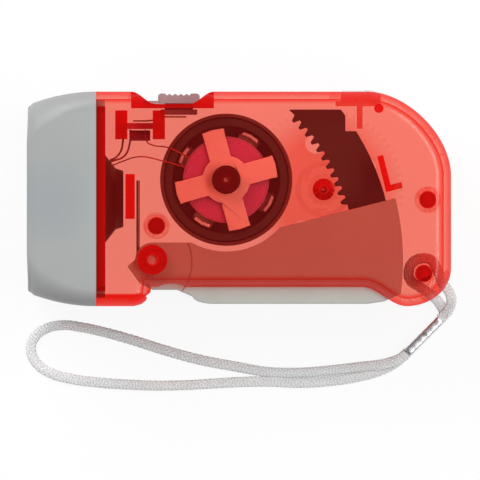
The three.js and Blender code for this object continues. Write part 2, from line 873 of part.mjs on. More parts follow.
function lowerShell() {
  const outer = domedBlank(0, casing.edgeRadius, midZ, 0, -1);
  const hollow = domedBlank(
    casing.wall,
    casing.edgeRadius - casing.wall,
    midZ + overrun,
    floorZ,
    -1,
  );
  const tub = block(
    jointX + recess.fromJoint,
    jointX + recess.fromJoint + recess.length,
    topY - recess.depth - recess.floor,
    topY,
    floorZ - gap,
    midZ,
  );
  const bosses = [
    rod(pivotX, pivotY, pivot.bossRadius, floorZ - gap, leverLowZ - gap),
    rod(rotorX, rotorY, rotorBoss.lowerRadius, floorZ - gap, idlerZ - gap - gap),
    rod(idlerX, idlerY, idlerBossRadius, floorZ - gap, idlerZ - gap - gap),
    ...screwPlaces().map(({ x, y }) => rod(x, y, screwPost.radius, floorZ - gap, midZ)),
    ...screwPlaces().map(({ x, y }) =>
      rod(x, y, screwPost.base, floorZ - gap, screwPost.baseHeight),
    ),
  ];
  const ribs = [
    saddleSolid(floorZ - gap, midZ),
    ...boardPosts(floorZ - gap, midZ - knob.carrierWidth / 2 - gap),
  ];
  const keep = block(jointX, rearX + overrun, baseY - overrun, topY + overrun, -overrun, midZ);
  const inside = joined(
    outer.subtract(hollow),
    outer.intersect(joined(tub, ...bosses, ...ribs)),
  );
  const boreLow = floorZ - axle.seat;
  return cut(
    inside,
    ...sharedCuts(),
    strapSlotCut(),
    rod(pivotX, pivotY, pivot.pinRadius + running, boreLow, midZ),
    rod(rotorX, rotorY, axle.radius + running, boreLow, midZ, segments.small),
    rod(idlerX, idlerY, axle.radius + running, boreLow, midZ, segments.small),
    ...screwPlaces().map(({ x, y }) =>
      rod(x, y, caseScrew.radius + running, -overrun, midZ + overrun, segments.small),
    ),
    ...screwPlaces().map(({ x, y }) =>
      rod(x, y, caseScrew.headRadius + running, -overrun, caseScrew.recess + caseScrew.headHeight),
    ),
  ).intersect(keep);
}

function caseScrewSolid({ x, y }) {
  const low = caseScrew.recess;
  const shoulder = low + caseScrew.headHeight - running;
  const tip = caseScrew.length;
  const body = turnedZ(
    [
      [0, low],
      [caseScrew.headRadius - caseScrew.slot, low],
      [caseScrew.headRadius, low + caseScrew.slot],
      [caseScrew.headRadius, shoulder],
      [caseScrew.radius, shoulder],
      [caseScrew.radius, tip - caseScrew.radius],
      [0, tip],
    ],
    x,
    y,
    segments.small,
  );
  const arm = caseScrew.headRadius * caseScrew.slotShare;
  const half = caseScrew.slot / 2;
  const deep = low + caseScrew.slot;
  return cut(
    body,
    block(x - arm, x + arm, y - half, y + half, low - overrun, deep),
    block(x - half, x + half, y - arm, y + arm, low - overrun, deep),
  );
}

// Lamp head

// A rounded rectangle across the flashlight, as a ring of points at one X
function headSection(x, halfHeight, halfDepth, corner) {
  const steps = segments.edge + 1;
  const ring = [];
  const centres = [
    [halfHeight - corner, halfDepth - corner, 0],
    [corner - halfHeight, halfDepth - corner, 1],
    [corner - halfHeight, corner - halfDepth, 2],
    [halfHeight - corner, corner - halfDepth, 3],
  ];
  for (const [cy, cz, quarter] of centres) {
    for (let i = 0; i <= steps; i += 1) {
      const angle = (Math.PI / 2) * (quarter + i / steps);
      ring.push(
        new THREE.Vector3(
          x,
          axisY + cy + corner * Math.cos(angle),
          midZ + cz + corner * Math.sin(angle),
        ),
      );
    }
  }
  return ring;
}

// The hood's half sizes and corner at a share of its length from the front
function hoodSizes(share) {
  const swell = 1 - (1 - share) ** 2;
  const blend = (front, rear) => front + (rear - front) * swell;
  return {
    halfHeight: blend(hood.frontHeight, casing.height) / 2,
    halfDepth: blend(hood.frontDepth, casing.depth) / 2,
    corner: blend(hood.frontCorner, hood.rearCorner),
  };
}

function hoodRing(share, inner, x = frontX + hood.length * share) {
  const { halfHeight, halfDepth, corner } = hoodSizes(share);
  return headSection(x, halfHeight - inner, halfDepth - inner, Math.max(corner - inner, gap));
}

// The rim bulges forward above and below its middle
function waved(ring, share) {
  const { halfHeight } = hoodSizes(0);
  return ring.map((p) => {
    const height = (p.y - axisY) / halfHeight;
    const dip = hood.rimWave * Math.cos(Math.PI * height) ** 2 * share;
    return new THREE.Vector3(p.x + dip * (1 - Math.abs(height) / 2), p.y, p.z);
  });
}

function hoodSolid() {
  const lip = hood.wall / 2;
  const outer = hoodRingShares.map((share) => hoodRing(share, 0));
  const seat = hood.lensSetback / hood.length;
  const inner = hoodRingShares
    .slice(0, -1)
    .reverse()
    .map((share) => hoodRing(share, hood.wall));
  const collarInset = casing.wall + gap;
  const collarEnd = jointX + hood.collarLength;
  const { halfHeight, halfDepth, corner } = hoodSizes(1);
  const collar = (x, extra) =>
    headSection(
      x,
      halfHeight - collarInset - extra,
      halfDepth - collarInset - extra,
      Math.max(corner - collarInset - extra, gap),
    );
  const rings = [
    waved(hoodRing(0, lip), 1),
    waved(hoodRing(0, lip / 3, frontX + lip / 3), 1),
    ...outer,
    collar(jointX, 0),
    collar(collarEnd, 0),
    collar(collarEnd, hood.collarWall),
    collar(jointX - hood.collarLength, hood.collarWall),
    ...inner,
    hoodRing(seat, hood.wall),
    waved(hoodRing(0, hood.wall, frontX + lip / 3), 1),
  ];
  return loft(rings, true);
}

// A flat plate that fills the hood from one X to another
function hoodPlate(low, high) {
  const share = (low - frontX) / hood.length;
  const clear = hood.wall + gap + gap;
  return loft([hoodRing(share, clear, low), hoodRing(share, clear, high)]);
}

function lensSolid() {
  return hoodPlate(lensX, lensX + lens.thickness);
}

function ledPlaces() {
  return Array.from({ length: led.count }, (_, i) => {
    const angle = Math.PI / 2 + (2 * Math.PI * i) / led.count;
    return { y: axisY + led.circle * Math.cos(angle), z: midZ + led.circle * Math.sin(angle) };
  });
}

function reflectorSolid() {
  const plate = hoodPlate(reflectorX, reflectorX + reflector.flange);
  const { neckRadius, wall, rimRoom } = reflector;
  const { halfDepth } = hoodSizes((reflectorX - frontX) / hood.length);
  const mouthRadius = halfDepth - hood.wall - wall - rimRoom;
  const inner = bowlShares.map((share) => [
    reflectorX + (reflectorBack - reflectorX) * share,
    neckRadius + (mouthRadius - neckRadius) * Math.sqrt(1 - share),
  ]);
  const floorX = reflectorBack - wall;
  const bowl = turnedX(
    [
      [reflectorX, 0],
      ...inner.map(([x, r]) => [x, r + wall]),
      [reflectorBack, neckRadius + wall],
      [reflectorBack, 0],
    ],
    axisY,
    midZ,
    segments.bowl,
  );
  const space = turnedX(
    [
      [reflectorX - overrun, 0],
      [reflectorX - overrun, mouthRadius],
      ...inner,
      [floorX, neckRadius],
      [floorX, 0],
    ],
    axisY,
    midZ,
    segments.bowl,
  );
  const holes = ledPlaces().map(({ y, z }) =>
    turnedX(
      [
        [floorX - overrun, 0],
        [floorX - overrun, led.radius + running],
        [reflectorBack + overrun, led.radius + running],
        [reflectorBack + overrun, 0],
      ],
      y,
      z,
      segments.small,
    ),
  );
  return cut(plate.add(bowl), space, ...holes);
}

function ledSolid({ y, z }) {
  const flangeX = reflectorBack + gap;
  const domeX = flangeX - led.body;
  const dome = arc(domeX, 0, led.radius, Math.PI, Math.PI / 2, segments.edge);
  dome[0][1] = 0;
  return turnedX(
    [
      ...dome,
      [flangeX, led.radius],
      [flangeX, led.flangeRadius],
      [flangeX + led.flange, led.flangeRadius],
      [flangeX + led.flange, 0],
    ],
    y,
    z,
    segments.small,
  );
}

function ledBoardSolid() {
  return turnedX(
    [
      [ledBoardX, 0],
      [ledBoardX, ledBoard.radius],
      [ledBoardX + ledBoard.thickness, ledBoard.radius],
      [ledBoardX + ledBoard.thickness, 0],
    ],
    axisY,
    midZ,
    segments.round,
  );
}

function lampHolderSolid() {
  const back = holderBackX;
  return turnedX(
    [
      [holderX, 0],
      [holderX, lampHolder.flangeRadius],
      [back - lampHolder.flange / 2, lampHolder.flangeRadius],
      [back, lampHolder.flangeRadius - lampHolder.flange / 2],
      [back, lampHolder.radius],
      [back + lampHolder.length, lampHolder.radius],
      [back + lampHolder.length, 0],
    ],
    axisY,
    midZ,
    segments.round,
  );
}

// Gears

const involute = (radius, base) => {
  const angle = Math.acos(Math.min(1, base / radius));
  return Math.tan(angle) - angle;
};

// Half a tooth's angle at a radius; inner is for teeth that point inwards
function halfTooth(radius, pitch, teeth, inner = false) {
  const base = pitch * Math.cos(tooth.pressureAngle * degrees);
  const half = Math.PI / (2 * teeth) - tooth.thinning / (2 * pitch);
  const curve = involute(pitch, base) - involute(Math.max(radius, base), base);
  return inner ? half - curve : half + curve;
}

// A spur gear's outline, with a tooth at the given angle
function gearOutline(cx, cy, pitch, teeth, addendum, dedendum, phase) {
  const levels = [pitch - dedendum, pitch + addendum];
  const points = [];
  for (let i = 0; i < teeth; i += 1) {
    const centre = phase + (2 * Math.PI * i) / teeth;
    const flank = levels.map((r) => [r, halfTooth(r, pitch, teeth)]);
    for (const [r, half] of flank) points.push([r, centre - half]);
    for (const [r, half] of flank.reverse()) points.push([r, centre + half]);
  }
  return points.map(([r, a]) => [cx + r * Math.cos(a), cy + r * Math.sin(a)]);
}

function sectorSolid() {
  const from = sector.fromAngle * degrees;
  const tip = sectorPitch - sector.addendumShare * sector.module;
  const root = sectorPitch + drivePinion.addendumShare * sector.module + tooth.rootClearance;
  const flatY = topY - casing.wall - sector.topRoom;
  const flatAngle = Math.asin((flatY - pivotY) / root);
  const travelAngle = driveAngle + (lever.travel + sector.spareAngle) * degrees;
  const to = Math.min(flatAngle, travelAngle);
  const step = (2 * Math.PI) / sectorTeeth;
  const first = Math.ceil((leverTopAngle - driveAngle) / step);
  const last = Math.floor((to - driveAngle) / step - 0.5);
  const inner = [];
  for (let i = last; i >= first; i -= 1) {
    const centre = driveAngle + i * step;
    const levels = [root, tip].map((r) => [r, halfTooth(r, sectorPitch, sectorTeeth, true)]);
    for (const [r, half] of levels) inner.push([r, centre + half]);
    for (const [r, half] of levels.reverse()) inner.push([r, centre - half]);
  }
  const polar = ([r, a]) => [pivotX + r * Math.cos(a), pivotY + r * Math.sin(a)];
  const outline = [
    ...arc(pivotX, pivotY, sectorOuter, from, to, segments.sectorEdge),
    polar([root, to]),
    ...inner.map(polar),
    polar([root, leverTopAngle - step]),
    polar([root, from]),
  ];
  const trim = block(pivotX, rearX, flatY, flatY + sectorOuter, 0, casing.depth);
  const catchX = lockX + lock.tabFromStart - lock.travel;
  const catchNotch = block(
    catchX - gap,
    catchX + lock.travel + lock.tabLength + gap,
    lockTabEndY - sector.catchRoom,
    topY,
    0,
    casing.depth,
  );
  const holes = sectorScrewPlaces().map(({ x, y }) =>
    rod(x, y, sector.screwRadius + running, 0, casing.depth, segments.small),
  );
  return cut(prism(outline, sectorZ, sectorTopZ), trim, catchNotch, ...holes);
}

function sectorScrewPlaces() {
  const radius = (sectorPitch + sectorOuter) / 2;
  return sector.screwsBelowShelfEnd.map((below, i) => {
    const angle = shelfEndAngle - below * degrees;
    return {
      name: `sector_screw_${i + 1}`,
      x: pivotX + radius * Math.cos(angle),
      y: pivotY + radius * Math.sin(angle),
    };
  });
}

function sectorScrewSolid({ x, y }) {
  const seat = sectorTopZ + gap;
  const top = seat + sector.screwHeadHeight;
  const shank = rod(x, y, sector.screwRadius, shelfZ, seat + gap, segments.small);
  const head = rod(x, y, sector.screwHead, seat, top, segments.small);
  const half = sector.screwSlot / 2;
  const slot = block(
    x - sector.screwHead,
    x + sector.screwHead,
    y - half,
    y + half,
    top - sector.screwSlot,
    top + overrun,
  );
  return shank.add(head).subtract(slot);
}

function drivePinionSolid() {
  const pitch = (sector.module * drivePinion.teeth) / 2;
  const phase = driveAngle + Math.PI / drivePinion.teeth;
  const addendum = drivePinion.addendumShare * sector.module;
  const dedendum = sector.addendumShare * sector.module + tooth.rootClearance;
  const outline = gearOutline(idlerX, idlerY, pitch, drivePinion.teeth, addendum, dedendum, phase);
  const saw = [];
  for (let i = 0; i < ratchet.teeth; i += 1) {
    const angle = (2 * Math.PI * i) / ratchet.teeth;
    const next = angle + (2 * Math.PI) / ratchet.teeth;
    const low = ratchet.radius - ratchet.toothDepth;
    saw.push([idlerX + low * Math.cos(angle), idlerY + low * Math.sin(angle)]);
    const tip = next - Math.PI / (ratchet.teeth * ratchet.teeth);
    saw.push([idlerX + ratchet.radius * Math.cos(tip), idlerY + ratchet.radius * Math.sin(tip)]);
  }
  return cut(
    joined(prism(outline, pinionZ, pinionTopZ), prism(saw, ratchetZ, pinionZ)),
    rod(idlerX, idlerY, axle.radius + running, 0, casing.depth, segments.small),
  );
}

// A ring on the idler gear, with sprung fingers that ride over the ratchet
function clutchSolid() {
  const ring = tube(
    idlerX,
    idlerY,
    ratchet.ringOuter,
    ratchet.ringInner,
    ratchetZ - gap,
    pinionZ - gap,
    segments.plate,
  );
  const fingers = Array.from({ length: ratchet.fingers }, (_, i) => {
    const angle = (2 * Math.PI * i) / ratchet.fingers;
    const lean = ratchet.fingerLean;
    const at = (r, a) => [idlerX + r * Math.cos(a), idlerY + r * Math.sin(a)];
    const root = (ratchet.ringInner + ratchet.ringOuter) / 2;
    const tip = ratchet.radius + gap + running;
    const halfRoot = ratchet.fingerWidth / root;
    const outline = [
      at(root, angle - halfRoot),
      at(root, angle + halfRoot),
      at(tip + ratchet.fingerWidth / 2, angle + lean / 2),
      at(tip, angle + lean / 2),
    ];
    return prism(outline, ratchetZ - gap, pinionZ - gap);
  });
  return joined(ring, ...fingers);
}

function idlerGearSolid() {
  const pitch = (train.module * idlerTeeth) / 2;
  const root = trainAddendum + tooth.rootClearance;
  const outline = gearOutline(idlerX, idlerY, pitch, idlerTeeth, trainAddendum, root, trainAngle);
  const holeCircle = pitch - idler.webRoom;
  const holes = Array.from({ length: idler.webHoles }, (_, i) => {
    const angle = (2 * Math.PI * (i + 0.5)) / idler.webHoles;
    return circle(
      idlerX + holeCircle * Math.cos(angle),
      idlerY + holeCircle * Math.sin(angle),
      idler.webHoleRadius,
      segments.small,
    );
  });
  return prism(outline, idlerZ, idlerTopZ, [
    circle(idlerX, idlerY, axle.radius + running, segments.small),
    ...holes,
  ]);
}

function rotorPinionSolid() {
  const pitch = (train.module * train.rotorTeeth) / 2;
  const root = trainAddendum + tooth.rootClearance;
  const phase = trainAngle + Math.PI + Math.PI / train.rotorTeeth;
  const teeth = train.rotorTeeth;
  const outline = gearOutline(rotorX, rotorY, pitch, teeth, trainAddendum, root, phase);
  return prism(outline, idlerZ - gap, flywheelZ - gap, [
    circle(rotorX, rotorY, axle.radius + running, segments.small),
  ]);
}

// Lever

// How far the finger face lies below the pivot
const fingerDrop = pivot.aboveGrip + lever.press;

// The finger face's points from the neck to the round end, moved up by some thickness
function fingerLine(rise, reach) {
  const drop = fingerDrop - rise;
  const neck = lever.neck - rise;
  const endDrop = drop - lever.roundRise;
  const end = Math.sqrt(reach ** 2 - endDrop ** 2);
  const middle = -(neck + drop) / 2;
  const curve = arc(0, 0, 1, Math.PI, Math.PI * 1.5, segments.edge).map(([x, y]) => [
    lever.shoulder + lever.shoulderCurve * (1 + x),
    middle + ((drop - neck) / 2) * y,
  ]);
  const line = [
    [lever.neckLength, -neck],
    ...curve,
    [end - lever.roundEnd, -drop],
    [end - lever.roundEnd / 2, -drop + lever.roundRise / 4],
    [end, -endDrop],
  ];
  return line.map(([x, y]) => [pivotX + x, pivotY + y]);
}

// The lever's end, round about the pivot, from the finger face up to an angle
function endArc(rise, reach, top) {
  const low = -Math.asin((fingerDrop - rise - lever.roundRise) / reach);
  return arc(pivotX, pivotY, reach, low, top, segments.bend).slice(1);
}

function leverOutline() {
  const at = (x, y) => [pivotX + x, pivotY + y];
  return [
    at(-lever.tailReach, -lever.tailDrop),
    at(-lever.tailReach / 2, -lever.neck + lever.tailDrop),
    at(0, -lever.neck),
    ...fingerLine(0, leverEnd),
    ...endArc(0, leverEnd, leverTopAngle),
    at(lever.hubReach, lever.hubReach * Math.tan(leverTopAngle)),
    at(lever.hubReach, lever.hubRadius),
    ...arc(pivotX, pivotY, lever.hubRadius, Math.PI / 2, Math.PI, segments.bend),
  ];
}

// The space between the lever's two side plates, above the finger face, up to a reach
function leverHollow(reach, low, high) {
  const outline = [
    [pivotX - lever.tailReach - overrun, pivotY - lever.neck + lever.web],
    ...fingerLine(lever.web, reach),
    ...endArc(lever.web, reach, Math.PI / 4),
    [pivotX - lever.tailReach - overrun, pivotY + leverEnd / 2],
  ];
  return prism(outline, low, high);
}

// The ledge that the sector is screwed to
function leverShelf() {
  const from = lever.shelfFrom * degrees;
  const inner = sectorPitch + sector.module + lever.wall;
  const outer = leverEnd - lever.wall / 2;
  const outline = [
    ...arc(pivotX, pivotY, outer, from, shelfEndAngle, segments.bend),
    ...arc(pivotX, pivotY, inner, shelfEndAngle, from, segments.bend),
  ];
  return prism(outline, shelfZ, shelfTopZ);
}

// The end is closed above the shelf and open below it, where the idler gear passes
function leverSolid() {
  const body = prism(leverOutline(), leverLowZ, leverHighZ);
  const hub = rod(pivotX, pivotY, lever.hubTube, leverLowZ, leverHighZ);
  const relief = rod(
    rotorX,
    rotorY,
    flywheelRadius + lever.rotorRoom,
    0,
    casing.depth,
    segments.large,
  );
  const screwHoles = sectorScrewPlaces().map(({ x, y }) =>
    rod(x, y, sector.screwRadius + running, shelfZ - overrun, sectorZ, segments.small),
  );
  const hollows = [
    leverHollow(leverEnd - lever.wall, leverLowZ + lever.wall, leverHighZ - lever.wall),
    leverHollow(leverEnd + overrun, leverLowZ + lever.wall, shelfZ),
  ];
  return cut(
    joined(cut(body, ...hollows), hub, leverShelf()),
    relief,
    rod(pivotX, pivotY, pivot.pinRadius + running, 0, casing.depth),
    ...screwHoles,
  );
}

// The torsion spring, as points down its wire: an upper leg along the casing's rib, the turns,
// and a lower leg that ends on the lever's web
function springPoints() {
  const z = leverHighZ - lever.wall - spring.wire / 2 - gap - gap;
  const r = spring.coilRadius;
  const endX = lever.neckLength;
  const endY = lever.web - lever.neck + spring.wire / 2 + gap;
  const touch = Math.atan2(endY, endX) - Math.acos(r / Math.hypot(endX, endY));
  const sweep = 2 * Math.PI * spring.turns + touch + Math.PI;
  const count = Math.round((sweep / (2 * Math.PI)) * spring.stepsPerTurn);
  const fall = (spring.pitch * sweep) / (2 * Math.PI);
  const ribTop = axisY + backRib.above + backRib.width / 2;
  const points = [[-r, ribTop - spring.legBelowRib - pivotY, z]];
  for (let i = 0; i <= count; i += 1) {
    const angle = Math.PI + (sweep * i) / count;
    points.push([r * Math.cos(angle), r * Math.sin(angle), z - (fall * i) / count]);
  }
  points.push([endX, endY, z - fall]);
  return points.map(([x, y, pz]) => new THREE.Vector3(pivotX + x, pivotY + y, pz));
}

// A tube with a ring of points square to the wire at each of its corners
function wireTube(points, radius, sides) {
  const up = new THREE.Vector3(0, 0, 1);
  const rings = points.map((p, i) => {
    const before = points[Math.max(i - 1, 0)];
    const after = points[Math.min(i + 1, points.length - 1)];
    const along = new THREE.Vector3().subVectors(after, before).normalize();
    const side = new THREE.Vector3().crossVectors(along, up).normalize();
    const rise = new THREE.Vector3().crossVectors(side, along);
    return Array.from({ length: sides }, (_, k) => {
      const angle = (2 * Math.PI * k) / sides;
      return p
        .clone()
        .addScaledVector(side, radius * Math.cos(angle))
        .addScaledVector(rise, radius * Math.sin(angle));
    });
  });
  return loftTube(rings);
}

// A tube whose end rings need not be level: each end is closed with a fan
function loftTube(rings) {
  const count = rings[0].length;
  const positions = rings.flat().flatMap((p) => [p.x, p.y, p.z]);
  const faces = [];
  for (let r = 0; r < rings.length - 1; r += 1) {
    for (let i = 0; i < count; i += 1) {
      const j = (i + 1) % count;
      const here = r * count;
      const next = here + count;
      faces.push(here + i, here + j, next + j, here + i, next + j, next + i);
    }
  }
  const end = (rings.length - 1) * count;
  for (let i = 1; i < count - 1; i += 1) {
    faces.push(0, i + 1, i, end, end + i, end + i + 1);
  }
  const geometry = new THREE.BufferGeometry();
  geometry.setAttribute("position", new THREE.Float32BufferAttribute(positions, 3));
  geometry.setIndex(faces);
  return outward(solidOf(geometry));
}

// The least gap between a wire's stretches that lie a turn or more apart
function leastGap(points, wireDiameter, reach) {
  const fine = new THREE.CatmullRomCurve3(points).getSpacedPoints(points.length * 6);
  const step = fine[0].distanceTo(fine[1]);
  const skip = Math.ceil(reach / step);
  let least = Infinity;
  for (let i = 0; i < fine.length; i += 1) {
    for (let j = i + skip; j < fine.length; j += 1) {
      least = Math.min(least, fine[i].distanceTo(fine[j]) - wireDiameter);
    }
  }
  return least;
}

function springSolid() {
  const points = springPoints();
  const free = leastGap(points, spring.wire, Math.PI * spring.coilRadius);
  console.log(`return_spring: least gap between turns ${free.toFixed(2)} mm`);
  return wireTube(points, spring.wire / 2, spring.sides);
}

// Generator

function flywheelSolid() {
  const z = flywheelZ;
  const floorTop = z + flywheel.floor;
  const inner = flywheelRadius - flywheel.wall;
  return cut(
    turnedZ(
      [
        [0, z],
        [flywheelRadius - flywheel.wall / 2, z],
        [flywheelRadius, z + flywheel.wall / 2],
        [flywheelRadius, flywheelTopZ],
        [inner, flywheelTopZ],
        [inner, floorTop],
        [flywheel.hubRadius, floorTop],
        [flywheel.hubRadius, floorTop + flywheel.hubRise / 2],
        [0, floorTop + flywheel.hubRise / 2],
      ],
      rotorX,
      rotorY,
      segments.large,
    ),
    rod(rotorX, rotorY, axle.radius + running, 0, casing.depth, segments.small),
  );
}

function magnetSolid() {
  const low = flywheelZ + flywheel.floor + gap;
  const high = flywheelTopZ - magnet.belowRim;
  return tube(rotorX, rotorY, magnetOuter, magnetInner, low, high, segments.large);
}

// A sheet-steel cross whose arms bend along the axis between the other plate's
function clawPlate(low, turnDegrees, up) {
  const high = low + claw.sheet;
  const arms = Array.from({ length: claw.arms }, (_, i) => {
    const angle = turnDegrees * degrees + (2 * Math.PI * i) / claw.arms;
    const place = ([x, y]) => [
      rotorX + x * Math.cos(angle) - y * Math.sin(angle),
      rotorY + x * Math.sin(angle) + y * Math.cos(angle),
    ];
    const half = claw.width / 2;
    const reach = Math.sqrt(clawRadius ** 2 - half ** 2);
    const arm = prism(
      [
        [claw.hubRadius / 2, -half],
        [reach, -half],
        [clawRadius, 0],
        [reach, half],
        [claw.hubRadius / 2, half],
      ].map(place),
      low,
      high,
    );
    const root = up ? low : high;
    const overlap = upperClawZ - lowerClawZ - claw.tipRoom;
    const tip = up ? root + overlap : root - overlap;
    const across = (r, width, z) => {
      const out = Math.sqrt(r ** 2 - (claw.width / 2) ** 2);
      return [
        [out, -width / 2],
        [r, 0],
        [out, width / 2],
      ].map((p) => new THREE.Vector3(...place(p), z));
    };
    const section = (width, z) => [
      ...across(clawRadius, width, z),
      ...across(clawRadius - claw.sheet, width, z).reverse(),
    ];
    return arm.add(loft([section(claw.width, root), section(claw.tipWidth, tip)]));
  });
  const hub = rod(rotorX, rotorY, claw.hubRadius, low, high, segments.plate);
  const hole = rod(rotorX, rotorY, boreRadius, 0, casing.depth, segments.round);
  return joined(hub, ...arms).subtract(hole);
}

function bobbinSolid() {
  const outer = boreRadius + bobbin.tube;
  return turnedZ(
    [
      [boreRadius, bobbinZ],
      [bobbinFlangeRadius, bobbinZ],
      [bobbinFlangeRadius, bobbinZ + bobbin.flange],
      [outer, bobbinZ + bobbin.flange],
      [outer, bobbinTopZ - bobbin.flange],
      [bobbinFlangeRadius, bobbinTopZ - bobbin.flange],
      [bobbinFlangeRadius, bobbinTopZ],
      [boreRadius, bobbinTopZ],
      [boreRadius, bobbinZ],
    ],
    rotorX,
    rotorY,
    segments.round,
  );
}

// The room for the winding between the bobbin's flanges
const windingZ = bobbinZ + bobbin.flange + gap;
const windingTopZ = bobbinTopZ - bobbin.flange - gap;

// All the inner layers of the coil as one solid
function windingCore() {
  const inner = boreRadius + bobbin.tube + gap;
  return tube(rotorX, rotorY, windingRadius, inner, windingZ, windingTopZ, segments.round);
}

// The coil's outermost layer, one unbroken wire
function windingTurns() {
  const r = windingRadius + winding.wire / 2 + gap;
  const z = windingZ + winding.wire / 2;
  const room = windingTopZ - windingZ - winding.wire;
  const turnCount = Math.round(room / winding.pitch);
  const pitch = room / turnCount;
  const count = turnCount * winding.stepsPerTurn;
  const points = Array.from({ length: count + 1 }, (_, i) => {
    const turns = i / winding.stepsPerTurn;
    const angle = 2 * Math.PI * turns;
    const [x, y] = [rotorX + r * Math.cos(angle), rotorY + r * Math.sin(angle)];
    return new THREE.Vector3(x, y, z + pitch * turns);
  });
  const free = leastGap(points, winding.wire, Math.PI * windingRadius);
  console.log(`coil_outer_turns: least gap between turns ${free.toFixed(2)} mm`);
  return wireTube(points, winding.wire / 2, winding.sides);
}

// Switch

function knobSolid() {
  const x = jointX + knob.fromJoint;
  const floorY = topY - recess.depth + gap;
  const high = floorY + knob.height;
  const pitch = knob.ribbedLength / knob.ribs;
  const ribs = [];
  for (let i = 0; i < knob.ribs; i += 1) {
    const from = x + knob.length - pitch * (i + 0.5);
    ribs.push([from, high], [from - pitch / 4, high - knob.ribDepth], [from - pitch / 2, high]);
  }
  const side = [
    [x + knob.length, floorY],
    [x + knob.length, high - knob.ribDepth],
    ...ribs,
    [x + knob.ribDepth, high],
    [x, high - knob.ribDepth],
    [x, floorY + knob.footHeight],
    [x - knob.foot, floorY + knob.footHeight],
    [x - knob.foot, floorY],
  ];
  const stemX = x + gap;
  const stem = block(
    stemX,
    stemX + knob.stemLength,
    carrierTopY - knob.carrier,
    floorY + knob.footHeight,
    midZ - knob.stemWidth / 2,
    midZ + knob.stemWidth / 2,
  );
  const carrier = block(
    x,
    x + knob.carrierLength,
    carrierTopY - knob.carrier,
    carrierTopY,
    midZ - knob.carrierWidth / 2,
    midZ + knob.carrierWidth / 2,
  );
  return joined(prism(side, midZ - knob.width / 2, midZ + knob.width / 2), stem, carrier);
}

function contactSolid() {
  const x = jointX + knob.fromJoint + gap;
  return block(
    x,
    x + contact.length,
    contactY,
    contactY + contact.thickness,
    midZ - contact.width / 2,
    midZ + contact.width / 2,
  );
}

function boardSolid() {
  const x = jointX + board.fromJoint;
  const high = topY - board.belowTop;
  return block(
    x,
    x + board.length,
    high - board.thickness,
    high,
    midZ - board.width / 2,
    midZ + board.width / 2,
  );
}

// A bent brass leaf that stands on the board and reaches up to the moving contact
function terminalSolid(side) {
  const footX = jointX + board.fromJoint + board.length / 2 - terminal.foot / 2;
  const low = topY - board.belowTop + gap;
  const high = contactY - gap;
  const t = terminal.thickness;
  const bend = footX + terminal.foot;
  const outline = [
    [footX, low],
    [bend, low],
    [bend + terminal.slope, high - t],
    [bend + terminal.slope, high],
    [bend, low + t],
    [footX, low + t],
  ];
  const centre = midZ + side * terminal.spread;
  return prism(outline, centre - terminal.width / 2, centre + terminal.width / 2);
}

function diodeSolid() {
  const x = jointX + board.fromJoint + (board.length - diode.length) / 2;
  const y = topY - board.belowTop - board.thickness - gap - diode.radius;
  return turnedX(
    [
      [x, 0],
      [x, diode.radius],
      [x + diode.length, diode.radius],
      [x + diode.length, 0],
    ],
    y,
    midZ + board.width / 4,
    segments.small,
  );
}

// Lever lock

function lockSolid() {
  const x = lockX;
  const high = topY + lock.proud;
  const pitch = lock.ribbedLength / lock.ribs;
  const ribs = [];
  for (let i = 0; i < lock.ribs; i += 1) {
    const from = x + lock.ribDepth + pitch * i;
    ribs.push([from, high - lock.ribDepth], [from + pitch / 2, high]);
  }
  const humpFrom = x + lock.ribbedLength + lock.ribDepth * 2;
  const humpTo = x + lock.length;
  const side = [
    [x, lockBaseTopY - gap],
    [x, high - lock.ribDepth],
    ...ribs,
    [humpFrom, high - lock.ribDepth],
    [humpFrom + lock.ribDepth, high],
    [(humpFrom + humpTo) / 2, high],
    [humpTo, topY - lock.ribDepth * 2],
    [humpTo, lockBaseTopY - gap],
  ].reverse();
  const base = block(
    x - lock.baseSpare,
    x + lock.length,
    lockBaseTopY - lock.base,
    lockBaseTopY,
    midZ - lock.width / 2 - lock.baseSpare,
    midZ + lock.width / 2 + lock.baseSpare,
  );
  const tabX = x + lock.tabFromStart;
  const sectorMid = (sectorZ + sectorTopZ) / 2;
  const tab = block(
    tabX,
    tabX + lock.tabLength,
    lockTabEndY,
    lockBaseTopY - lock.base / 2,
    sectorMid - lock.tabWidth / 2,
    sectorMid + lock.tabWidth / 2,
  );
  return joined(prism(side, midZ - lock.width / 2, midZ + lock.width / 2), base, tab);
}

// Wires inside the casing, each from one soldered end to the other

// On the lamp holder's rear face, from the lamp's axis
function holderSpot({ above, beside }) {
  return new THREE.Vector3(holderBackX + gap, axisY + above, midZ + beside);
}

// Under the switch board, from its front edge
function boardSpot({ along, beside }) {
  const low = topY - board.belowTop - board.thickness;
  return new THREE.Vector3(jointX + board.fromJoint + along, low - running, midZ + beside);
}

// Over the coil's upper end, from the rotor's axle
function coilSpot({ ahead, above }) {
  return new THREE.Vector3(rotorX - ahead, rotorY + above, upperClawTopZ + wire.coil + running);
}

// Each row is a share of the way along X, Y and Z, and of the whole way for the arch above it
function wireRoute(start, end, routeShares) {
  const way = new THREE.Vector3().subVectors(end, start);
  const between = routeShares.map(([alongX, alongY, alongZ, arch = 0]) => [
    start.x + way.x * alongX,
    start.y + way.y * alongY + way.length() * arch,
    start.z + way.z * alongZ,
  ]);
  return [start.toArray(), ...between, end.toArray()];
}

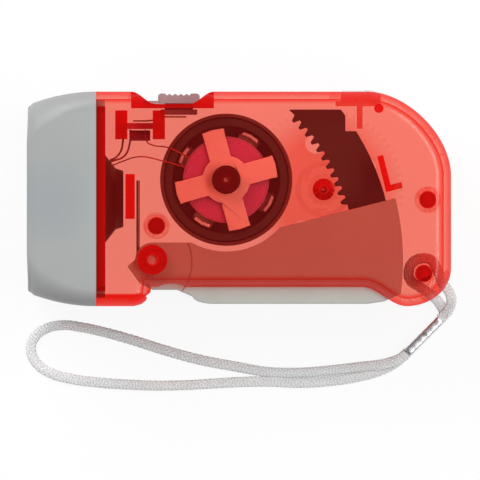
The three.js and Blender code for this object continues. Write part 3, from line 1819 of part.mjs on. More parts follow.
const wires = {
  led_wire_front: {
    radius: wire.led,
    start: holderSpot(solder.lampFront),
    end: boardSpot(solder.boardFront),
    routeShares: [
      [0.3, 0.04, 0],
      [0.79, 0.27, 0.67],
      [0.97, 0.62, 1],
      [1, 0.88, 1],
    ],
  },
  led_wire_rear: {
    radius: wire.led,
    start: holderSpot(solder.lampRear),
    end: boardSpot(solder.boardRear),
    routeShares: [
      [0.2, 0.03, 0],
      [0.72, 0.18, 0.5],
      [0.98, 0.59, 1],
      [1, 0.88, 1],
    ],
  },
  coil_wire_outer: {
    radius: wire.coil,
    start: coilSpot(solder.coilOuter),
    end: boardSpot(solder.boardCoil),
    routeShares: [
      [0.08, 0.07, 0],
      [0.48, 0.37, 0],
      [0.84, 0.46, 0.37],
      [0.99, 0.66, 0.87],
      [1, 0.87, 1],
    ],
  },
  coil_wire_inner: {
    radius: wire.coil,
    start: coilSpot(solder.coilInner),
    end: holderSpot(solder.lampCoil),
    routeShares: [
      [0.05, 0.05, 0, 0.015],
      [0.32, 0.32, 0, 0.075],
      [0.59, 0.59, 0.22, 0.115],
      [0.87, 0.87, 0.8, 0.035],
      [0.96, 0.96, 1, 0],
    ],
  },
};

// Wrist strap

const ferruleLow = new THREE.Vector3(rearX - ferrule.fromRear, baseY - ferrule.below, 0);

function ferruleSolid() {
  const half = ferrule.width / 2;
  const chamfer = ferrule.width / 4;
  const h = ferrule.height;
  const section = [
    [-half + chamfer, 0],
    [half - chamfer, 0],
    [half, chamfer],
    [half, h - chamfer],
    [half - chamfer, h],
    [-half + chamfer, h],
    [-half, h - chamfer],
    [-half, chamfer],
  ];
  const angle = ferrule.lean * degrees;
  const along = new THREE.Vector3(Math.cos(angle), Math.sin(angle), 0);
  const side = new THREE.Vector3(-along.y, along.x, 0);
  const up = new THREE.Vector3(0, 0, 1);
  const ring = (shift) =>
    section.map(([s, z]) =>
      ferruleLow
        .clone()
        .addScaledVector(along, shift)
        .addScaledVector(side, s)
        .addScaledVector(up, z),
    );
  return loftTube([ring(0), ring(ferrule.length)]);
}

// The big loop lies flat on the surface; both its ends meet the ferrule, one above the other
const loopRoute = [
  [41.4, -37.6, 3.6],
  [39.9, -39, 3.6],
  [35.8, -40.5, 2.7],
  [28.9, -41.4, 1.4],
  [22, -42.2, 1.15],
  [15.1, -42.7, 1.15],
  [6.9, -42.5, 1.15],
  [-1.4, -41.1, 1.15],
  [-8.9, -39.7, 1.15],
  [-17.9, -37.3, 1.15],
  [-26.1, -34.7, 1.15],
  [-33, -32.8, 1.15],
  [-38.5, -31.6, 1.15],
  [-43.3, -31.1, 1.15],
  [-47.4, -32, 1.15],
  [-50.2, -34.3, 1.15],
  [-50.9, -37.4, 1.15],
  [-49.5, -40.4, 1.15],
  [-46.1, -42.8, 1.15],
  [-41.2, -44.2, 1.15],
  [-35.7, -45, 1.15],
  [-26.1, -45.7, 1.15],
  [-17.9, -45.9, 1.15],
  [-9.6, -45.6, 1.15],
  [-1.4, -45.1, 1.15],
  [6.9, -44.9, 1.15],
  [15.1, -45.2, 1.15],
  [22, -44.8, 1.15],
  [28.9, -43.8, 1.15],
  [35.2, -42, 1.15],
  [38.4, -40.3, 1.15],
  [40.2, -38.8, 1.15],
  [41.4, -37.6, 1.15],
];

// The tether leaves the ferrule, goes round the corner post inside the casing and comes back
const tetherRoute = [
  [49.4, -29.6, 1.15],
  [50.1, -28.9, 1.3],
  [49.3, -26, 4],
  [47, -23.6, 6.5],
  [44.4, -21.8, 7],
  [42.2, -20.3, 7],
  [41.6, -18.2, 7],
  [42.5, -15.8, 7],
  [44.8, -14.7, 7],
  [47.2, -15.2, 7],
  [48.2, -16.7, 7],
  [49.6, -20.2, 7],
  [52, -24.2, 6.3],
  [51.2, -27.6, 4.3],
  [50.2, -28.8, 3.6],
  [49.4, -29.6, 3.6],
];

// The assembly

const flashlight = new THREE.Group();

function add(name, solid, material) {
  const mesh = new THREE.Mesh(geometryOf(solid), material);
  mesh.name = name;
  flashlight.add(mesh);
}

add("upper_shell", upperShell(), materials.casing);
add("lower_shell", lowerShell(), materials.casing);
for (const place of screwPlaces()) add(place.name, caseScrewSolid(place), materials.steel);

add("hood", hoodSolid(), materials.hood);
add("lens", lensSolid(), materials.clear);
add("reflector", reflectorSolid(), materials.mirror);
ledPlaces().forEach((place, i) => add(`led_${i + 1}`, ledSolid(place), materials.clear));
add("led_board", ledBoardSolid(), materials.board);
add("lamp_holder", lampHolderSolid(), materials.blackPlastic);

add("lever", leverSolid(), materials.greyPlastic);
add("sector_gear", sectorSolid(), materials.blackPlastic);
for (const place of sectorScrewPlaces()) add(place.name, sectorScrewSolid(place), materials.steel);
add(
  "lever_pin",
  rod(pivotX, pivotY, pivot.pinRadius, floorZ - axle.seat + gap, roofZ + axle.seat - gap),
  materials.steel,
);
add("return_spring", springSolid(), materials.steel);

add("drive_pinion", drivePinionSolid(), materials.nylon);
add("clutch_ring", clutchSolid(), materials.nylon);
add("idler_gear", idlerGearSolid(), materials.nylon);
add(
  "idler_axle",
  rod(idlerX, idlerY, axle.radius, floorZ - axle.seat + gap, roofZ + axle.seat - gap, segments.small),
  materials.steel,
);

add("rotor_pinion", rotorPinionSolid(), materials.nylon);
add("flywheel", flywheelSolid(), materials.blackPlastic);
add("ring_magnet", magnetSolid(), materials.magnet);
add(
  "rotor_axle",
  rod(rotorX, rotorY, axle.radius, floorZ - axle.seat + gap, roofZ + axle.seat - gap, segments.small),
  materials.steel,
);
add("lower_claw_plate", clawPlate(lowerClawZ, claw.turn + 180 / claw.arms, true), materials.claws);
add("upper_claw_plate", clawPlate(upperClawZ, claw.turn, false), materials.claws);
add("coil_bobbin", bobbinSolid(), materials.nylon);
add("coil_winding", windingCore(), materials.copper);
add("coil_outer_turns", windingTurns(), materials.copper);

add("switch_slider", knobSolid(), materials.greyPlastic);
add("switch_contact", contactSolid(), materials.brass);
add("switch_board", boardSolid(), materials.board);
add("switch_terminal_low", terminalSolid(-1), materials.brass);
add("switch_terminal_high", terminalSolid(1), materials.brass);
add("rectifier_diode", diodeSolid(), materials.diode);
add("lock_slider", lockSolid(), materials.casing);

for (const [name, { radius, start, end, routeShares }] of Object.entries(wires)) {
  const points = wireRoute(start, end, routeShares);
  add(name, cordAlong(points, radius, wire.sides, wire.steps), materials.whiteWire);
}

add("strap_loop", cordAlong(loopRoute, cord.diameter / 2, cord.sides, cord.loopSteps), materials.cord);
add(
  "strap_tether",
  cordAlong(tetherRoute, cord.diameter / 2, cord.sides, cord.tetherSteps),
  materials.cord,
);
add("strap_ferrule", ferruleSolid(), materials.steel);

export default flashlight;
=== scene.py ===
import json
import math
from contextlib import contextmanager
from types import SimpleNamespace as Sizes

import bmesh
import bpy
from mathutils import Matrix, Vector

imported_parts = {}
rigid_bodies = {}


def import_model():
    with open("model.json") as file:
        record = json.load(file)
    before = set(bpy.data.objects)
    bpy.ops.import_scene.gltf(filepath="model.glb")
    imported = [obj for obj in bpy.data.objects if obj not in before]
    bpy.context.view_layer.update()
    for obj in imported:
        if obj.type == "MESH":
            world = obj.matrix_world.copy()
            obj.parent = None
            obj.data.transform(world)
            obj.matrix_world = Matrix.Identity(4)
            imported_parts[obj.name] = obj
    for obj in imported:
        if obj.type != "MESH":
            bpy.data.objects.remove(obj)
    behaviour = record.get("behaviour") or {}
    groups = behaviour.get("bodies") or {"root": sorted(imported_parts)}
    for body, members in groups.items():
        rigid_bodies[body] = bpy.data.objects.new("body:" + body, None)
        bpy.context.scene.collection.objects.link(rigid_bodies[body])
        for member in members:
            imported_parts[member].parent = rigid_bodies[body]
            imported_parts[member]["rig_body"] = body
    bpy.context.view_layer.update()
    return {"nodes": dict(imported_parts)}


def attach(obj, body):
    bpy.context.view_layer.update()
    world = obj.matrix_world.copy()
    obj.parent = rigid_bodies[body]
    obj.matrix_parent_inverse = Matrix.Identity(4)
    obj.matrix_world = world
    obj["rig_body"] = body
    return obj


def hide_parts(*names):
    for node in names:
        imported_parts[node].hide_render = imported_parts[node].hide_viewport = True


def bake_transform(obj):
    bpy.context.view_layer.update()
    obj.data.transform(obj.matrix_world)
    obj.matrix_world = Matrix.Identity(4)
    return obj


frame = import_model()

# Sizes in millimetres, angles in degrees
METRE = 1000
overrun = 2
casing = Sizes(
    front=-35, rear=52, top=26.15, base=-26.45, grip=-21.75, depth=36, wall=1.8, edge=4,
    top_corner=20.6, handle_share=0.476, rear_length=10.9, rear_height=9.3, rear_sweep=10.9,
    mid=18, floor=1.8, roof=34.2, axis=-0.15,
    nose=((-21.5, -21.75), (-21.7, -24.3), (-24, -26), (-25.8, -26.45)),
    notch=((-22.8, -24), (-21.3, -25.7), (-21.1, -22.6)),
)
through = (-overrun, casing.depth + overrun)
recess = Sizes(start=-26.4, end=-6.1, slope=6, depth=3, floor=1.1, strip=1.9)
recess_level = casing.top - recess.depth
arch = Sizes(x=-16.4, y=-27.9, radius=7)
lever_window = Sizes(start=-27.2, low=3.9, high=32.1, reach=62)
slide_window = Sizes(start=-27.2, end=-9.3, half=4.3, stem_start=-23.3, stem_end=-12.2, stem_half=2.3)
lock_window = Sizes(start=22.2, end=35, half=5.3, depth=1.8)
strap_window = Sizes(x=45.3, y=-18.45, along=12.7, width=9.6, height=5.4, level=7, near=3.2, turn=-45)

axle_end = 33.2
pivot = Sizes(x=-21.2, y=-15.05, boss=3.7, bore=1.65, pin=1.5, seat=32.1, foot=3.9, eye=1.2)
idler_axle = Sizes(x=20.7805, y=2.17, boss=2.7, bore=1.15, pin=1, seat=19, foot=7.6, eye=0.35)
rotor_axle = Sizes(x=-3.1012, y=4.55, boss=3.2, low_boss=2.6, bore=1.15, pin=1, seat=17.1, foot=7.6, eye=0.6)
screws = Sizes(
    places=((-20.2, -6.75), (46.3, -0.35), (45.3, -18.45)), post=2.15, foot=3.2, foot_top=3.6,
    bore=0.95, end=21.6,
)
case_screw = Sizes(
    radius=0.9, head=1.9, height=1.5, recess=0.5, length=21, slot=0.6, slot_share=0.62, room=0.15, tip=0.2
)
pip = Sizes(x=34.3, y=22.05, radius=1.15, low=26.2)
back_rib = Sizes(x=-27.8, length=2.3, y=0.45, width=11, low=22.2)
stop_rib = Sizes(wall=1.5, along=59.6, above=2, tall=9, foot=4.2, low=22.2, turn=14.2)
board_post = Sizes(starts=(-30.3, -21.1), length=3, top=21.55, height=7.1, inner=4.8)
joint_rib = Sizes(start=-34.7, end=-32.7, inset=3.6, width=1.5)

# Each ring of the hood's rim has a share of its way inwards and a share of its way back
hood = Sizes(
    front=-52, length=17, wall=1.6, front_height=45.8, front_depth=30.4, rear_height=52.6,
    rear_depth=36, rear_corner=4, front_corner=9, wave=0.6, collar=2.2, collar_wall=1.3, gap=0.3,
    rings=20, rim_shares=((1, 0), (0.5, 0.12), (1 / 6, 0.4), (0, 0.85)), back_shares=((1, 0.6), (0.8, 0.15)),
)
window = Sizes(
    front=-50.8, thickness=1.6, room=0.6, crown=0.35, crown_reach=10, crown_shares=(0.15, 0.35, 0.6, 0.85)
)
dish = Sizes(
    front=-48.9, flange=1, back=-37.3, neck=7.4, mouth=13.2, wall=1, tip=0.2, floor_share=0.5,
    rings=12, step=1.2,
)
lamps = Sizes(
    count=3, circle=4, first=90, radius=2.5, flange_radius=2.9, flange=0.9, body=4.6, gap=0.3,
    dome=85, chip=0.9, chip_radius=0.5, cup=0.4, cup_radius=0.9, cup_rim=1.1, cup_back=1.8, stem=0.6,
)
holder = Sizes(front=-34.1, flange=11, flange_back=-32.9, neck=6.9, back=-28.3, cone=7.5, cone_back=-30.2)

lever = Sizes(
    low=4.2, high=31.8, wall=1.6, reach=61.4, tail_reach=6.1, tail_drop=1.6, neck=7.4, neck_length=6,
    shoulder=10, shoulder_curve=5, drop=10.8, round_end=8, round_rise=2.4, hub_radius=4.2,
    hub_tube=2.6, top=14.203, hollow_top=45, web=2, step_depth=0.45, step_x=-2, step_y=-0.6,
    step_radius=11.7, room=17.6, shelf_low=11.5, shelf_top=13.5, shelf_from=-6, shelf_to=12.6,
    shelf_inner=51.1, bore=1.65,
)
knob = Sizes(
    start=-19.8, end=-9.6, top=25.7, base=23.2, half=4, ribs_start=-17.7, rib_pitch=1.4, ribs=4,
    rib_points=8, rib_depth=0.5, crest_share=0.25, round=0.8, foot=3.6, foot_height=0.7,
    stem_start=-18.2, stem_end=-11.2, stem_half=2, carrier_top=21.75, carrier=1.3,
    carrier_start=-19.2, carrier_end=-10.2, carrier_half=4.5,
)
bobbin = Sizes(bore=3.5, tube=4.3, radius=10.6, flange=1, low=17.1, high=28.5)
flywheel = Sizes(
    bore=1.15, hub=2.4, inner=15.35, radius=16.2, chamfer=0.425, low=12.7, floor=14.3, hub_top=14.75,
    high=28.3,
)
magnet = Sizes(inner=13.2, outer=15.05, low=14.6, high=27.6)
coil = Sizes(low=18.525, height=8.55, layers=8, turns=27.0, radius=9.725, pitch=0.5, wire=0.16)
tooth = Sizes(points=10, width_share=0.68, flank_share=0.38)
idler_gear = Sizes(teeth=64, tip=19.71, root=18.44, holes=5, hole=2.6, circle=11.5, thickness=3.0, low=8.2)
rotor_gear = Sizes(teeth=16, tip=5.31, root=4.04, holes=3, hole=0.4, circle=2.6, thickness=4.5, low=7.9)
spring = Sizes(
    radius=3.5, wire=0.8, top=29.2, pitch=1.3, turns=3, leg_end=4.35, leg_points=12, foot_x=-15.2,
    foot_y=-19.75, points=28,
)
strap = Sizes(
    width=2.5, thickness=1.3, drop=0.3, strands=16, strand=0.4, lay_length=11, weave_depth=0.04,
    step=0.32, cores=4, loop_length=196, tether_length=43,
)
ferrule = Sizes(
    x=41.6, y=-37.55, lean=45, length=10.7, width=2.4, height=4.9, over_share=0.04, rings=20,
    pinch=0.06, pinches=3, pinch_power=8, side_power=0.45, top_power=0.35,
)
loop_route = (
    (41.4, -37.6, 3.6), (39.9, -39, 3.6), (35.8, -40.5, 2.7), (28.9, -41.4, 1.4), (22, -42.2, 1.15),
    (15.1, -42.7, 1.15), (6.9, -42.5, 1.15), (-1.4, -41.1, 1.15), (-8.9, -39.7, 1.15),
    (-17.9, -37.3, 1.15), (-26.1, -34.7, 1.15), (-33, -32.8, 1.15), (-38.5, -31.6, 1.15),
    (-43.3, -31.1, 1.15), (-47.4, -32, 1.15), (-50.2, -34.3, 1.15), (-50.9, -37.4, 1.15),
    (-49.5, -40.4, 1.15), (-46.1, -42.8, 1.15), (-41.2, -44.2, 1.15), (-35.7, -45, 1.15),
    (-26.1, -45.7, 1.15), (-17.9, -45.9, 1.15), (-9.6, -45.6, 1.15), (-1.4, -45.1, 1.15),
    (6.9, -44.9, 1.15), (15.1, -45.2, 1.15), (22, -44.8, 1.15), (28.9, -43.8, 1.15),
    (35.2, -42, 1.15), (38.4, -40.3, 1.15), (40.2, -38.8, 1.15), (41.4, -37.6, 1.15),
)
tether_route = (
    (49.4, -29.6, 1.15), (50.1, -28.9, 1.3), (49.3, -26, 4), (47, -23.6, 6.5), (44.4, -21.8, 7),
    (42.2, -20.3, 7), (41.6, -18.2, 7), (42.5, -15.8, 7), (44.8, -14.7, 7), (47.2, -15.2, 7),
    (48.2, -16.7, 7), (49.6, -20.2, 7), (52, -24.2, 6.3), (51.2, -27.6, 4.3), (50.2, -28.8, 3.6),
    (49.4, -29.6, 3.6),
)
# Wires inside: CAD node, radius and route
thick_wire, thin_wire = 0.24, 0.16
wire_routes = (
    ("led_wire_front", thick_wire, ((-31.6, 9.4, 15), (-30.61, 9.7, 15), (-28.99, 11.4, 14.6),
                                    (-28.4, 13.99, 14.4), (-28.3, 15.91, 14.4), (-28.3, 16.8, 14.4))),
    ("led_wire_rear", thick_wire, ((-31.6, 9, 19), (-30.6, 9.23, 19), (-28, 10.4, 18.2),
                                   (-26.7, 13.6, 17.4), (-26.6, 15.86, 17.4), (-26.6, 16.8, 17.4))),
    ("coil_wire_outer", thin_wire, ((-12, 9.8, 30.05), (-12.87, 10.29, 30.05), (-17.23, 12.39, 30.05),
                                    (-21.16, 13.02, 27.66), (-22.79, 14.42, 24.44),
                                    (-22.9, 15.89, 23.6), (-22.9, 16.8, 23.6))),
    ("coil_wire_inner", thin_wire, ((-13, 7.5, 30.05), (-13.93, 7.83, 30.05), (-18.95, 9.22, 30.05),
                                    (-23.97, 10.2, 28.5), (-29.18, 8.81, 24.41), (-30.86, 8.17, 23),
                                    (-31.6, 8.2, 23))),
)

# CAD nodes that keep their shape: finish, slot and the radius of their edges
cad_parts = (
    ("led_board", "board", "circuit_board", 0.1),
    ("sector_gear", "black", "black_plastic", 0.08),
    ("sector_screw_1", "steel", "steel", 0.1),
    ("sector_screw_2", "steel", "steel", 0.1),
    ("drive_pinion", "nylon", "nylon", 0.06),
    ("clutch_ring", "nylon", "nylon", 0.08),
    ("lower_claw_plate", "claws", "claw_steel", 0.12),
    ("upper_claw_plate", "claws", "claw_steel", 0.12),
    ("switch_contact", "brass", "brass", 0.08),
    ("switch_board", "laminate", "circuit_board", 0.1),
    ("switch_terminal_low", "brass", "brass", 0.06),
    ("switch_terminal_high", "brass", "brass", 0.06),
    ("rectifier_diode", "diode", "diode_resin", 0.15),
    ("lock_slider", "lock", "casing_red", 0.08),
)

# Radii of round edges, angles at which edges are rounded or kept sharp, distances within which
# points are merged, and how many points or how long a step a shape gets
rounds = Sizes(gear=0.1, post=0.12, cup=0.15, crimp=0.15, knob=0.2, pin=0.2, holder=0.25, lever=0.3)
bend = Sizes(flat=1, edge=38, holder=40, knob=50, turned=60)
sharp = Sizes(plain=32, cast=40, lamp=50, wound=60)
near = Sizes(outward=1e-5, wheel=0.001, cad=0.002)
fine = Sizes(
    corner=28, bend=16, edge=9, round=48, small=32, plate=64, wheel=112, yarn=6, sleeve=10, spring=12,
    curve=12, wire_step=0.3, spring_step=0.35,
)

# Camera, floor and light; the two lamps' places and sizes are in metres, their power in watts
view = Sizes(x=0.28, y=-10.22, height=400, span=117.6)
studio = Sizes(
    reach=2000, drop=0.1, sky_top=0.12, sky_side=0.8, sky_power=1.5,
    lamps=(
        ("side_strip", (0.22, 0.03, 0.5), 0.14, 0.5, 1.7),
        ("overhead", (-0.35, 0.45, 0.5), 0.5, 0.5, 3.9),
    ),
)

# Where finishes change within a piece: places and lengths, shares, and slopes per millimetre
clear_red = Sizes(
    nose=-20.5, thick=3.2, thick_rise=2, thick_share=0.75, edge_start=0.08, edge_rise=1.9,
    dark_share=0.82, thin_share=0.85, full_share=1.15, haze=0.05, mirror=0.012, edge_mirror=0.14,
)
gear_cloud = Sizes(start=18.124, fade=5.91, wander=0.4, cover=0.06)
# Where the hood's painted reflection of the bowl and its painted shade along the top and bottom edges lie
hood_painted_light = Sizes(
    bowl=-46, bowl_length=11, bowl_height=12, bowl_share=0.45, wander=1.2, rim_height=25,
    rim_start=0.68, rim_rise=2.4, rim_share=0.7,
)
stitch = Sizes(rate=8, dirt_share=0.15)
slot_shade_rise = 3
floor_white_share = 0.9


# Node trees

def found(sockets, key):
    """A socket by its number, its identifier, or its name with _ for a space."""
    if isinstance(key, int):
        return sockets[key]
    for socket in sockets:
        if socket.identifier == key:
            return socket
    name = key.replace("_", " ")
    return next(socket for socket in sockets if socket.name == name and socket.enabled)


class Term:
    """A node's socket that can stand in a sum, in a shader or in a geometry tree."""

    def __init__(self, graph, socket):
        self.graph = graph
        self.socket = socket

    def clamped(self):
        return self.graph.math("ADD", self, 0.0, use_clamp=True)


def sum_method(operation, reflected):
    def method(term, other):
        pair = (other, term) if reflected else (term, other)
        return term.graph.math(operation, *pair)

    return method


for sign, operation in (
    ("add", "ADD"), ("sub", "SUBTRACT"), ("mul", "MULTIPLY"), ("truediv", "DIVIDE"), ("pow", "POWER")
):
    setattr(Term, f"__{sign}__", sum_method(operation, False))
    setattr(Term, f"__r{sign}__", sum_method(operation, True))


class Made:
    """A node whose outputs are read by name or number."""

    def __init__(self, graph, node):
        self.graph = graph
        self.made = node

    def __getitem__(self, key):
        return Term(self.graph, found(self.made.outputs, key))


class Graph:
    """A node tree that is built one node at a time."""

    def __init__(self, tree):
        self.tree = tree

    def node(self, kind, settings=None, numbered=None, **named):
        node = self.tree.nodes.new(kind)
        for name, value in (settings or {}).items():
            setattr(node, name, value)
        for key, value in {**(numbered or {}), **named}.items():
            socket = found(node.inputs, key)
            for one in value if isinstance(value, list) else [value]:
                if isinstance(one, Term):
                    self.tree.links.new(one.socket, socket)
                else:
                    socket.default_value = one
        return Made(self, node)

    def math(self, operation, *values, **settings):
        settings["operation"] = operation
        return self.node("ShaderNodeMath", settings, dict(enumerate(values)))[0]

    def vectors(self, operation, *values):
        keys = (0, "Scale") if operation == "SCALE" else (0, 1)
        return self.node("ShaderNodeVectorMath", {"operation": operation}, dict(zip(keys, values)))[0]


class Finish(Graph):
    """A material's node tree, with the patterns that several finishes share."""

    def __init__(self, name):
        self.material = bpy.data.materials.new(name)
        self.material.use_nodes = True
        super().__init__(self.material.node_tree)
        self.tree.nodes.clear()

    def place(self, stretch=(1, 1, 1)):
        here = self.node("ShaderNodeTexCoord")["Object"]
        return self.node("ShaderNodeMapping", Vector=here, Scale=stretch)[0]

    def along(self, axis):
        """How far along an axis a point lies, in millimetres."""
        return self.node("ShaderNodeSeparateXYZ", Vector=self.place())[axis] * METRE

    def noise(self, scale, detail=3.0, stretch=(1, 1, 1)):
        here = self.place(stretch)
        return self.node("ShaderNodeTexNoise", Vector=here, Scale=scale, Detail=detail)["Fac"]

    def facing(self, blend=0.5):
        return self.node("ShaderNodeLayerWeight", Blend=blend)["Facing"]

    def between(self, share, low, high):
        return low + share * (high - low)

    def mixed(self, share, first, second):
        first, second = (c if isinstance(c, Term) else (*c, 1) for c in (first, second))
        made = self.node(
            "ShaderNodeMix", {"data_type": "RGBA"}, Factor_Float=share, A_Color=first, B_Color=second
        )
        return made["Result_Color"]

    def bump(self, height, strength, depth):
        made = self.node("ShaderNodeBump", Height=height, Strength=strength, Distance=depth / METRE)
        return made["Normal"]

    def clear(self, tint):
        return self.node("ShaderNodeBsdfTransparent", Color=(*tint, 1))[0]

    def blended(self, share, first, second):
        return self.node("ShaderNodeMixShader", None, {0: share, 1: first, 2: second})[0]

    def solid(self, **values):
        return self.node("ShaderNodeBsdfPrincipled", **values)[0]

    def done(self, shader):
        self.node("ShaderNodeOutputMaterial", Surface=shader)
        return self.material


def shaded(colour, share):
    return [min(c * share, 1) for c in colour]


# Finishes

def see_through_red(name, light, deep, colour, share, gloss):
    """Tinted clear plastic: it filters what lies behind it, and more so where it is seen on edge."""
    m = Finish(name)
    c = clear_red
    flow = m.noise(scale=55, detail=2.0, stretch=(1, 0.35, 1))
    dust = m.noise(scale=900, detail=4.0)
    facing = m.facing()
    ahead = (c.nose - m.along("X")).clamped()
    thick = ((casing.base + c.thick - m.along("Y")) * c.thick_rise).clamped() * ahead
    on_edge = ((facing - c.edge_start) * c.edge_rise + thick * c.thick_share).clamped()
    clear = m.blended(on_edge, m.clear(light), m.clear(deep))
    body = m.solid(
        Base_Color=m.mixed(flow, colour, shaded(colour, c.dark_share)),
        Roughness=m.between(dust, 0.4, 0.6),
        Specular_IOR_Level=0.1,
        Normal=m.bump(flow, 0.05, 0.05),
    )
    cover = (m.between(flow, share * c.thin_share, share * c.full_share) + on_edge * share).clamped()
    roughness = m.between(dust, gloss, gloss + c.haze)
    skin = m.node("ShaderNodeBsdfGlossy", Color=(1, 1, 1, 1), Roughness=roughness)[0]
    mirror = c.mirror + facing * facing * c.edge_mirror
    return m.done(m.blended(mirror, m.blended(cover, clear, body), skin))


def part_clear(name, tint, colour, share, low, high, edge):
    """Cloudy plastic that lets some of what lies behind it through."""
    m = Finish(name)
    flow = m.noise(scale=120, stretch=(1, 0.5, 1))
    skin = m.noise(scale=1300, detail=4.0)
    body = m.solid(
        Base_Color=m.mixed(flow, colour, shaded(colour, 0.88)),
        Roughness=m.between(skin, low, high),
        Normal=m.bump(skin, 0.04, 0.04),
    )
    cover = (m.between(flow, share * 0.9, share * 1.1) + m.facing() * edge).clamped()
    return m.done(m.blended(cover, m.clear(tint), body))


def cloudy_gear():
    """Translucent nylon that is clear at its teeth and a little cloudier towards its middle."""
    m = Finish("cloudy_gear")
    c = gear_cloud
    flow = m.noise(scale=120)
    across = m.along("X") - idler_axle.x
    up = m.along("Y") - idler_axle.y
    away = m.math("SQRT", across * across + up * up)
    wander = m.between(flow, -c.wander / 2, c.wander / 2)
    inside = ((c.start - away) / c.fade + wander).clamped()
    body = m.solid(
        Base_Color=m.mixed(flow, (0.8, 0.7, 0.6), (0.7, 0.6, 0.5)), Roughness=m.between(flow, 0.4, 0.5)
    )
    clear = m.blended(inside, m.clear((0.995, 0.975, 0.97)), m.clear((0.99, 0.72, 0.68)))
    return m.done(m.blended((flow * c.cover).clamped(), clear, body))


def lock_plastic():
    """Clear where it stands out of the casing, and deep red within its slot, where the deep red is painted
    shade of the slot.
    """
    m = Finish("lock_plastic")
    flow = m.noise(scale=160)
    # Painted shade: below the casing's top the lock is painted deep red and tinted deeper
    slot_shade = ((casing.top - m.along("Y")) * slot_shade_rise).clamped()
    body = m.solid(
        Base_Color=m.mixed(slot_shade, (0.62, 0.56, 0.56), (0.8, 0.02, 0.02)), Roughness=m.between(flow, 0.2, 0.3)
    )
    clear = m.blended(slot_shade, m.clear((0.96, 0.90, 0.90)), m.clear((0.95, 0.5, 0.46)))
    cover = (m.between(flow, 0.08, 0.12) + m.facing() * 0.3).clamped()
    return m.done(m.blended(cover, clear, body))


def moulded(name, colour, low, high, grain=0.04, metal=0.0, pits=1400):
    """Moulded plastic or rubber: a fine grained skin with slight flow marks."""
    m = Finish(name)
    flow = m.noise(scale=90, stretch=(1, 0.5, 1))
    skin = m.noise(scale=pits, detail=5.0)
    body = m.solid(
        Base_Color=m.mixed(flow, shaded(colour, 0.9), shaded(colour, 1.08)),
        Roughness=m.between(skin, low, high),
        Metallic=metal,
        Normal=m.bump(skin, grain, 0.05),
    )
    return m.done(body)


def brushed(name, colour, low, high, stretch, depth=0.08, metal=1.0):
    """Drawn or rolled metal, with fine marks along one way."""
    m = Finish(name)
    marks = m.noise(scale=700, detail=5.0, stretch=stretch)
    patches = m.noise(scale=160)
    body = m.solid(
        Base_Color=m.mixed(patches, shaded(colour, 0.82), shaded(colour, 1.06)),
        Metallic=metal,
        Roughness=m.between(marks, low, high),
        Normal=m.bump(marks, depth, 0.03),
    )
    return m.done(body)


def smoked_hood():
    """The head's cloudy grey plastic, a little darker and bluer over the bowl as a painted reflection of the
    chromed bowl inside, and darker along its two edges as painted shade.
    """
    m = Finish("cloudy_grey_plastic")
    t = hood_painted_light
    up = m.along("Y") - casing.axis
    cloud = m.noise(scale=60, stretch=(1, 0.6, 1))
    skin = m.noise(scale=1500, detail=5.0)
    along_bowl = (m.along("X") - t.bowl) / t.bowl_length
    up_bowl = up / t.bowl_height
    round_bowl = 1 - along_bowl * along_bowl - up_bowl * up_bowl
    # Painted reflection: a darker bluish patch where the chromed bowl lies behind the hood
    bowl = (round_bowl + m.between(cloud, -t.wander / 2, t.wander / 2)).clamped()
    # Painted shade: the grey is darkened towards the hood's top and bottom edges, where it curves away
    height = up / t.rim_height
    rim = ((height * height - t.rim_start) * t.rim_rise).clamped()
    plain_grey = m.mixed(cloud, (0.32, 0.335, 0.333), (0.39, 0.397, 0.393))
    grey_with_bowl_reflection = m.mixed(bowl * t.bowl_share, plain_grey, (0.27, 0.30, 0.33))
    body = m.solid(
        Base_Color=m.mixed(rim * t.rim_share, grey_with_bowl_reflection, (0.30, 0.275, 0.28)),
        Roughness=m.between(skin, 0.34, 0.5),
        Specular_IOR_Level=0.4,
        Normal=m.bump(skin, 0.05, 0.04),
    )
    return m.done(body)


def clear_plastic(name, colour, share, gloss):
    """Clear, nearly colourless plastic or resin."""
    m = Finish(name)
    ripple = m.noise(scale=220, detail=2.0)
    body = m.solid(Base_Color=m.mixed(ripple, colour, shaded(colour, 0.9)), Roughness=gloss, IOR=1.5)
    cover = (m.between(ripple, share, share + 0.04) + m.facing(blend=0.25) * 0.35).clamped()
    return m.done(m.blended(cover, m.clear(colour), body))


def mirrored_dish():
    m = Finish("vacuum_chrome")
    orange_peel = m.noise(scale=520, detail=4.0)
    smears = m.noise(scale=60)
    body = m.solid(
        Base_Color=m.mixed(smears, (0.80, 0.81, 0.82), (0.90, 0.91, 0.92)),
        Metallic=1.0,
        Roughness=m.between(smears, 0.06, 0.14),
        Normal=m.bump(orange_peel, 0.06, 0.05),
    )
    return m.done(body)


def green_board():
    """Printed circuit laminate, with copper tracks under the solder mask."""
    m = Finish("circuit_laminate")
    tracks = m.node(
        "ShaderNodeTexBrick",
        {"offset": 0.5},
        Vector=m.place(),
        Scale=420.0,
        Mortar_Size=0.03,
        Color1=(0.02, 0.14, 0.05, 1),
        Color2=(0.03, 0.18, 0.07, 1),
        Mortar=(0.10, 0.30, 0.10, 1),
    )
    body = m.solid(
        Base_Color=tracks["Color"],
        Roughness=m.between(m.noise(scale=1800, detail=2.0), 0.35, 0.55),
        Coat_Weight=0.3,
        Normal=m.bump(tracks["Fac"], 0.3, 0.05),
    )
    return m.done(body)


def enamelled_copper():
    m = Finish("enamelled_copper")
    tone = m.noise(scale=500)
    body = m.solid(
        Base_Color=m.mixed(tone, (1.0, 0.03, 0.72), (1.0, 0.06, 0.95)),
        Metallic=0.05,
        Roughness=m.between(tone, 0.25, 0.4),
        Coat_Weight=0.4,
    )
    return m.done(body)


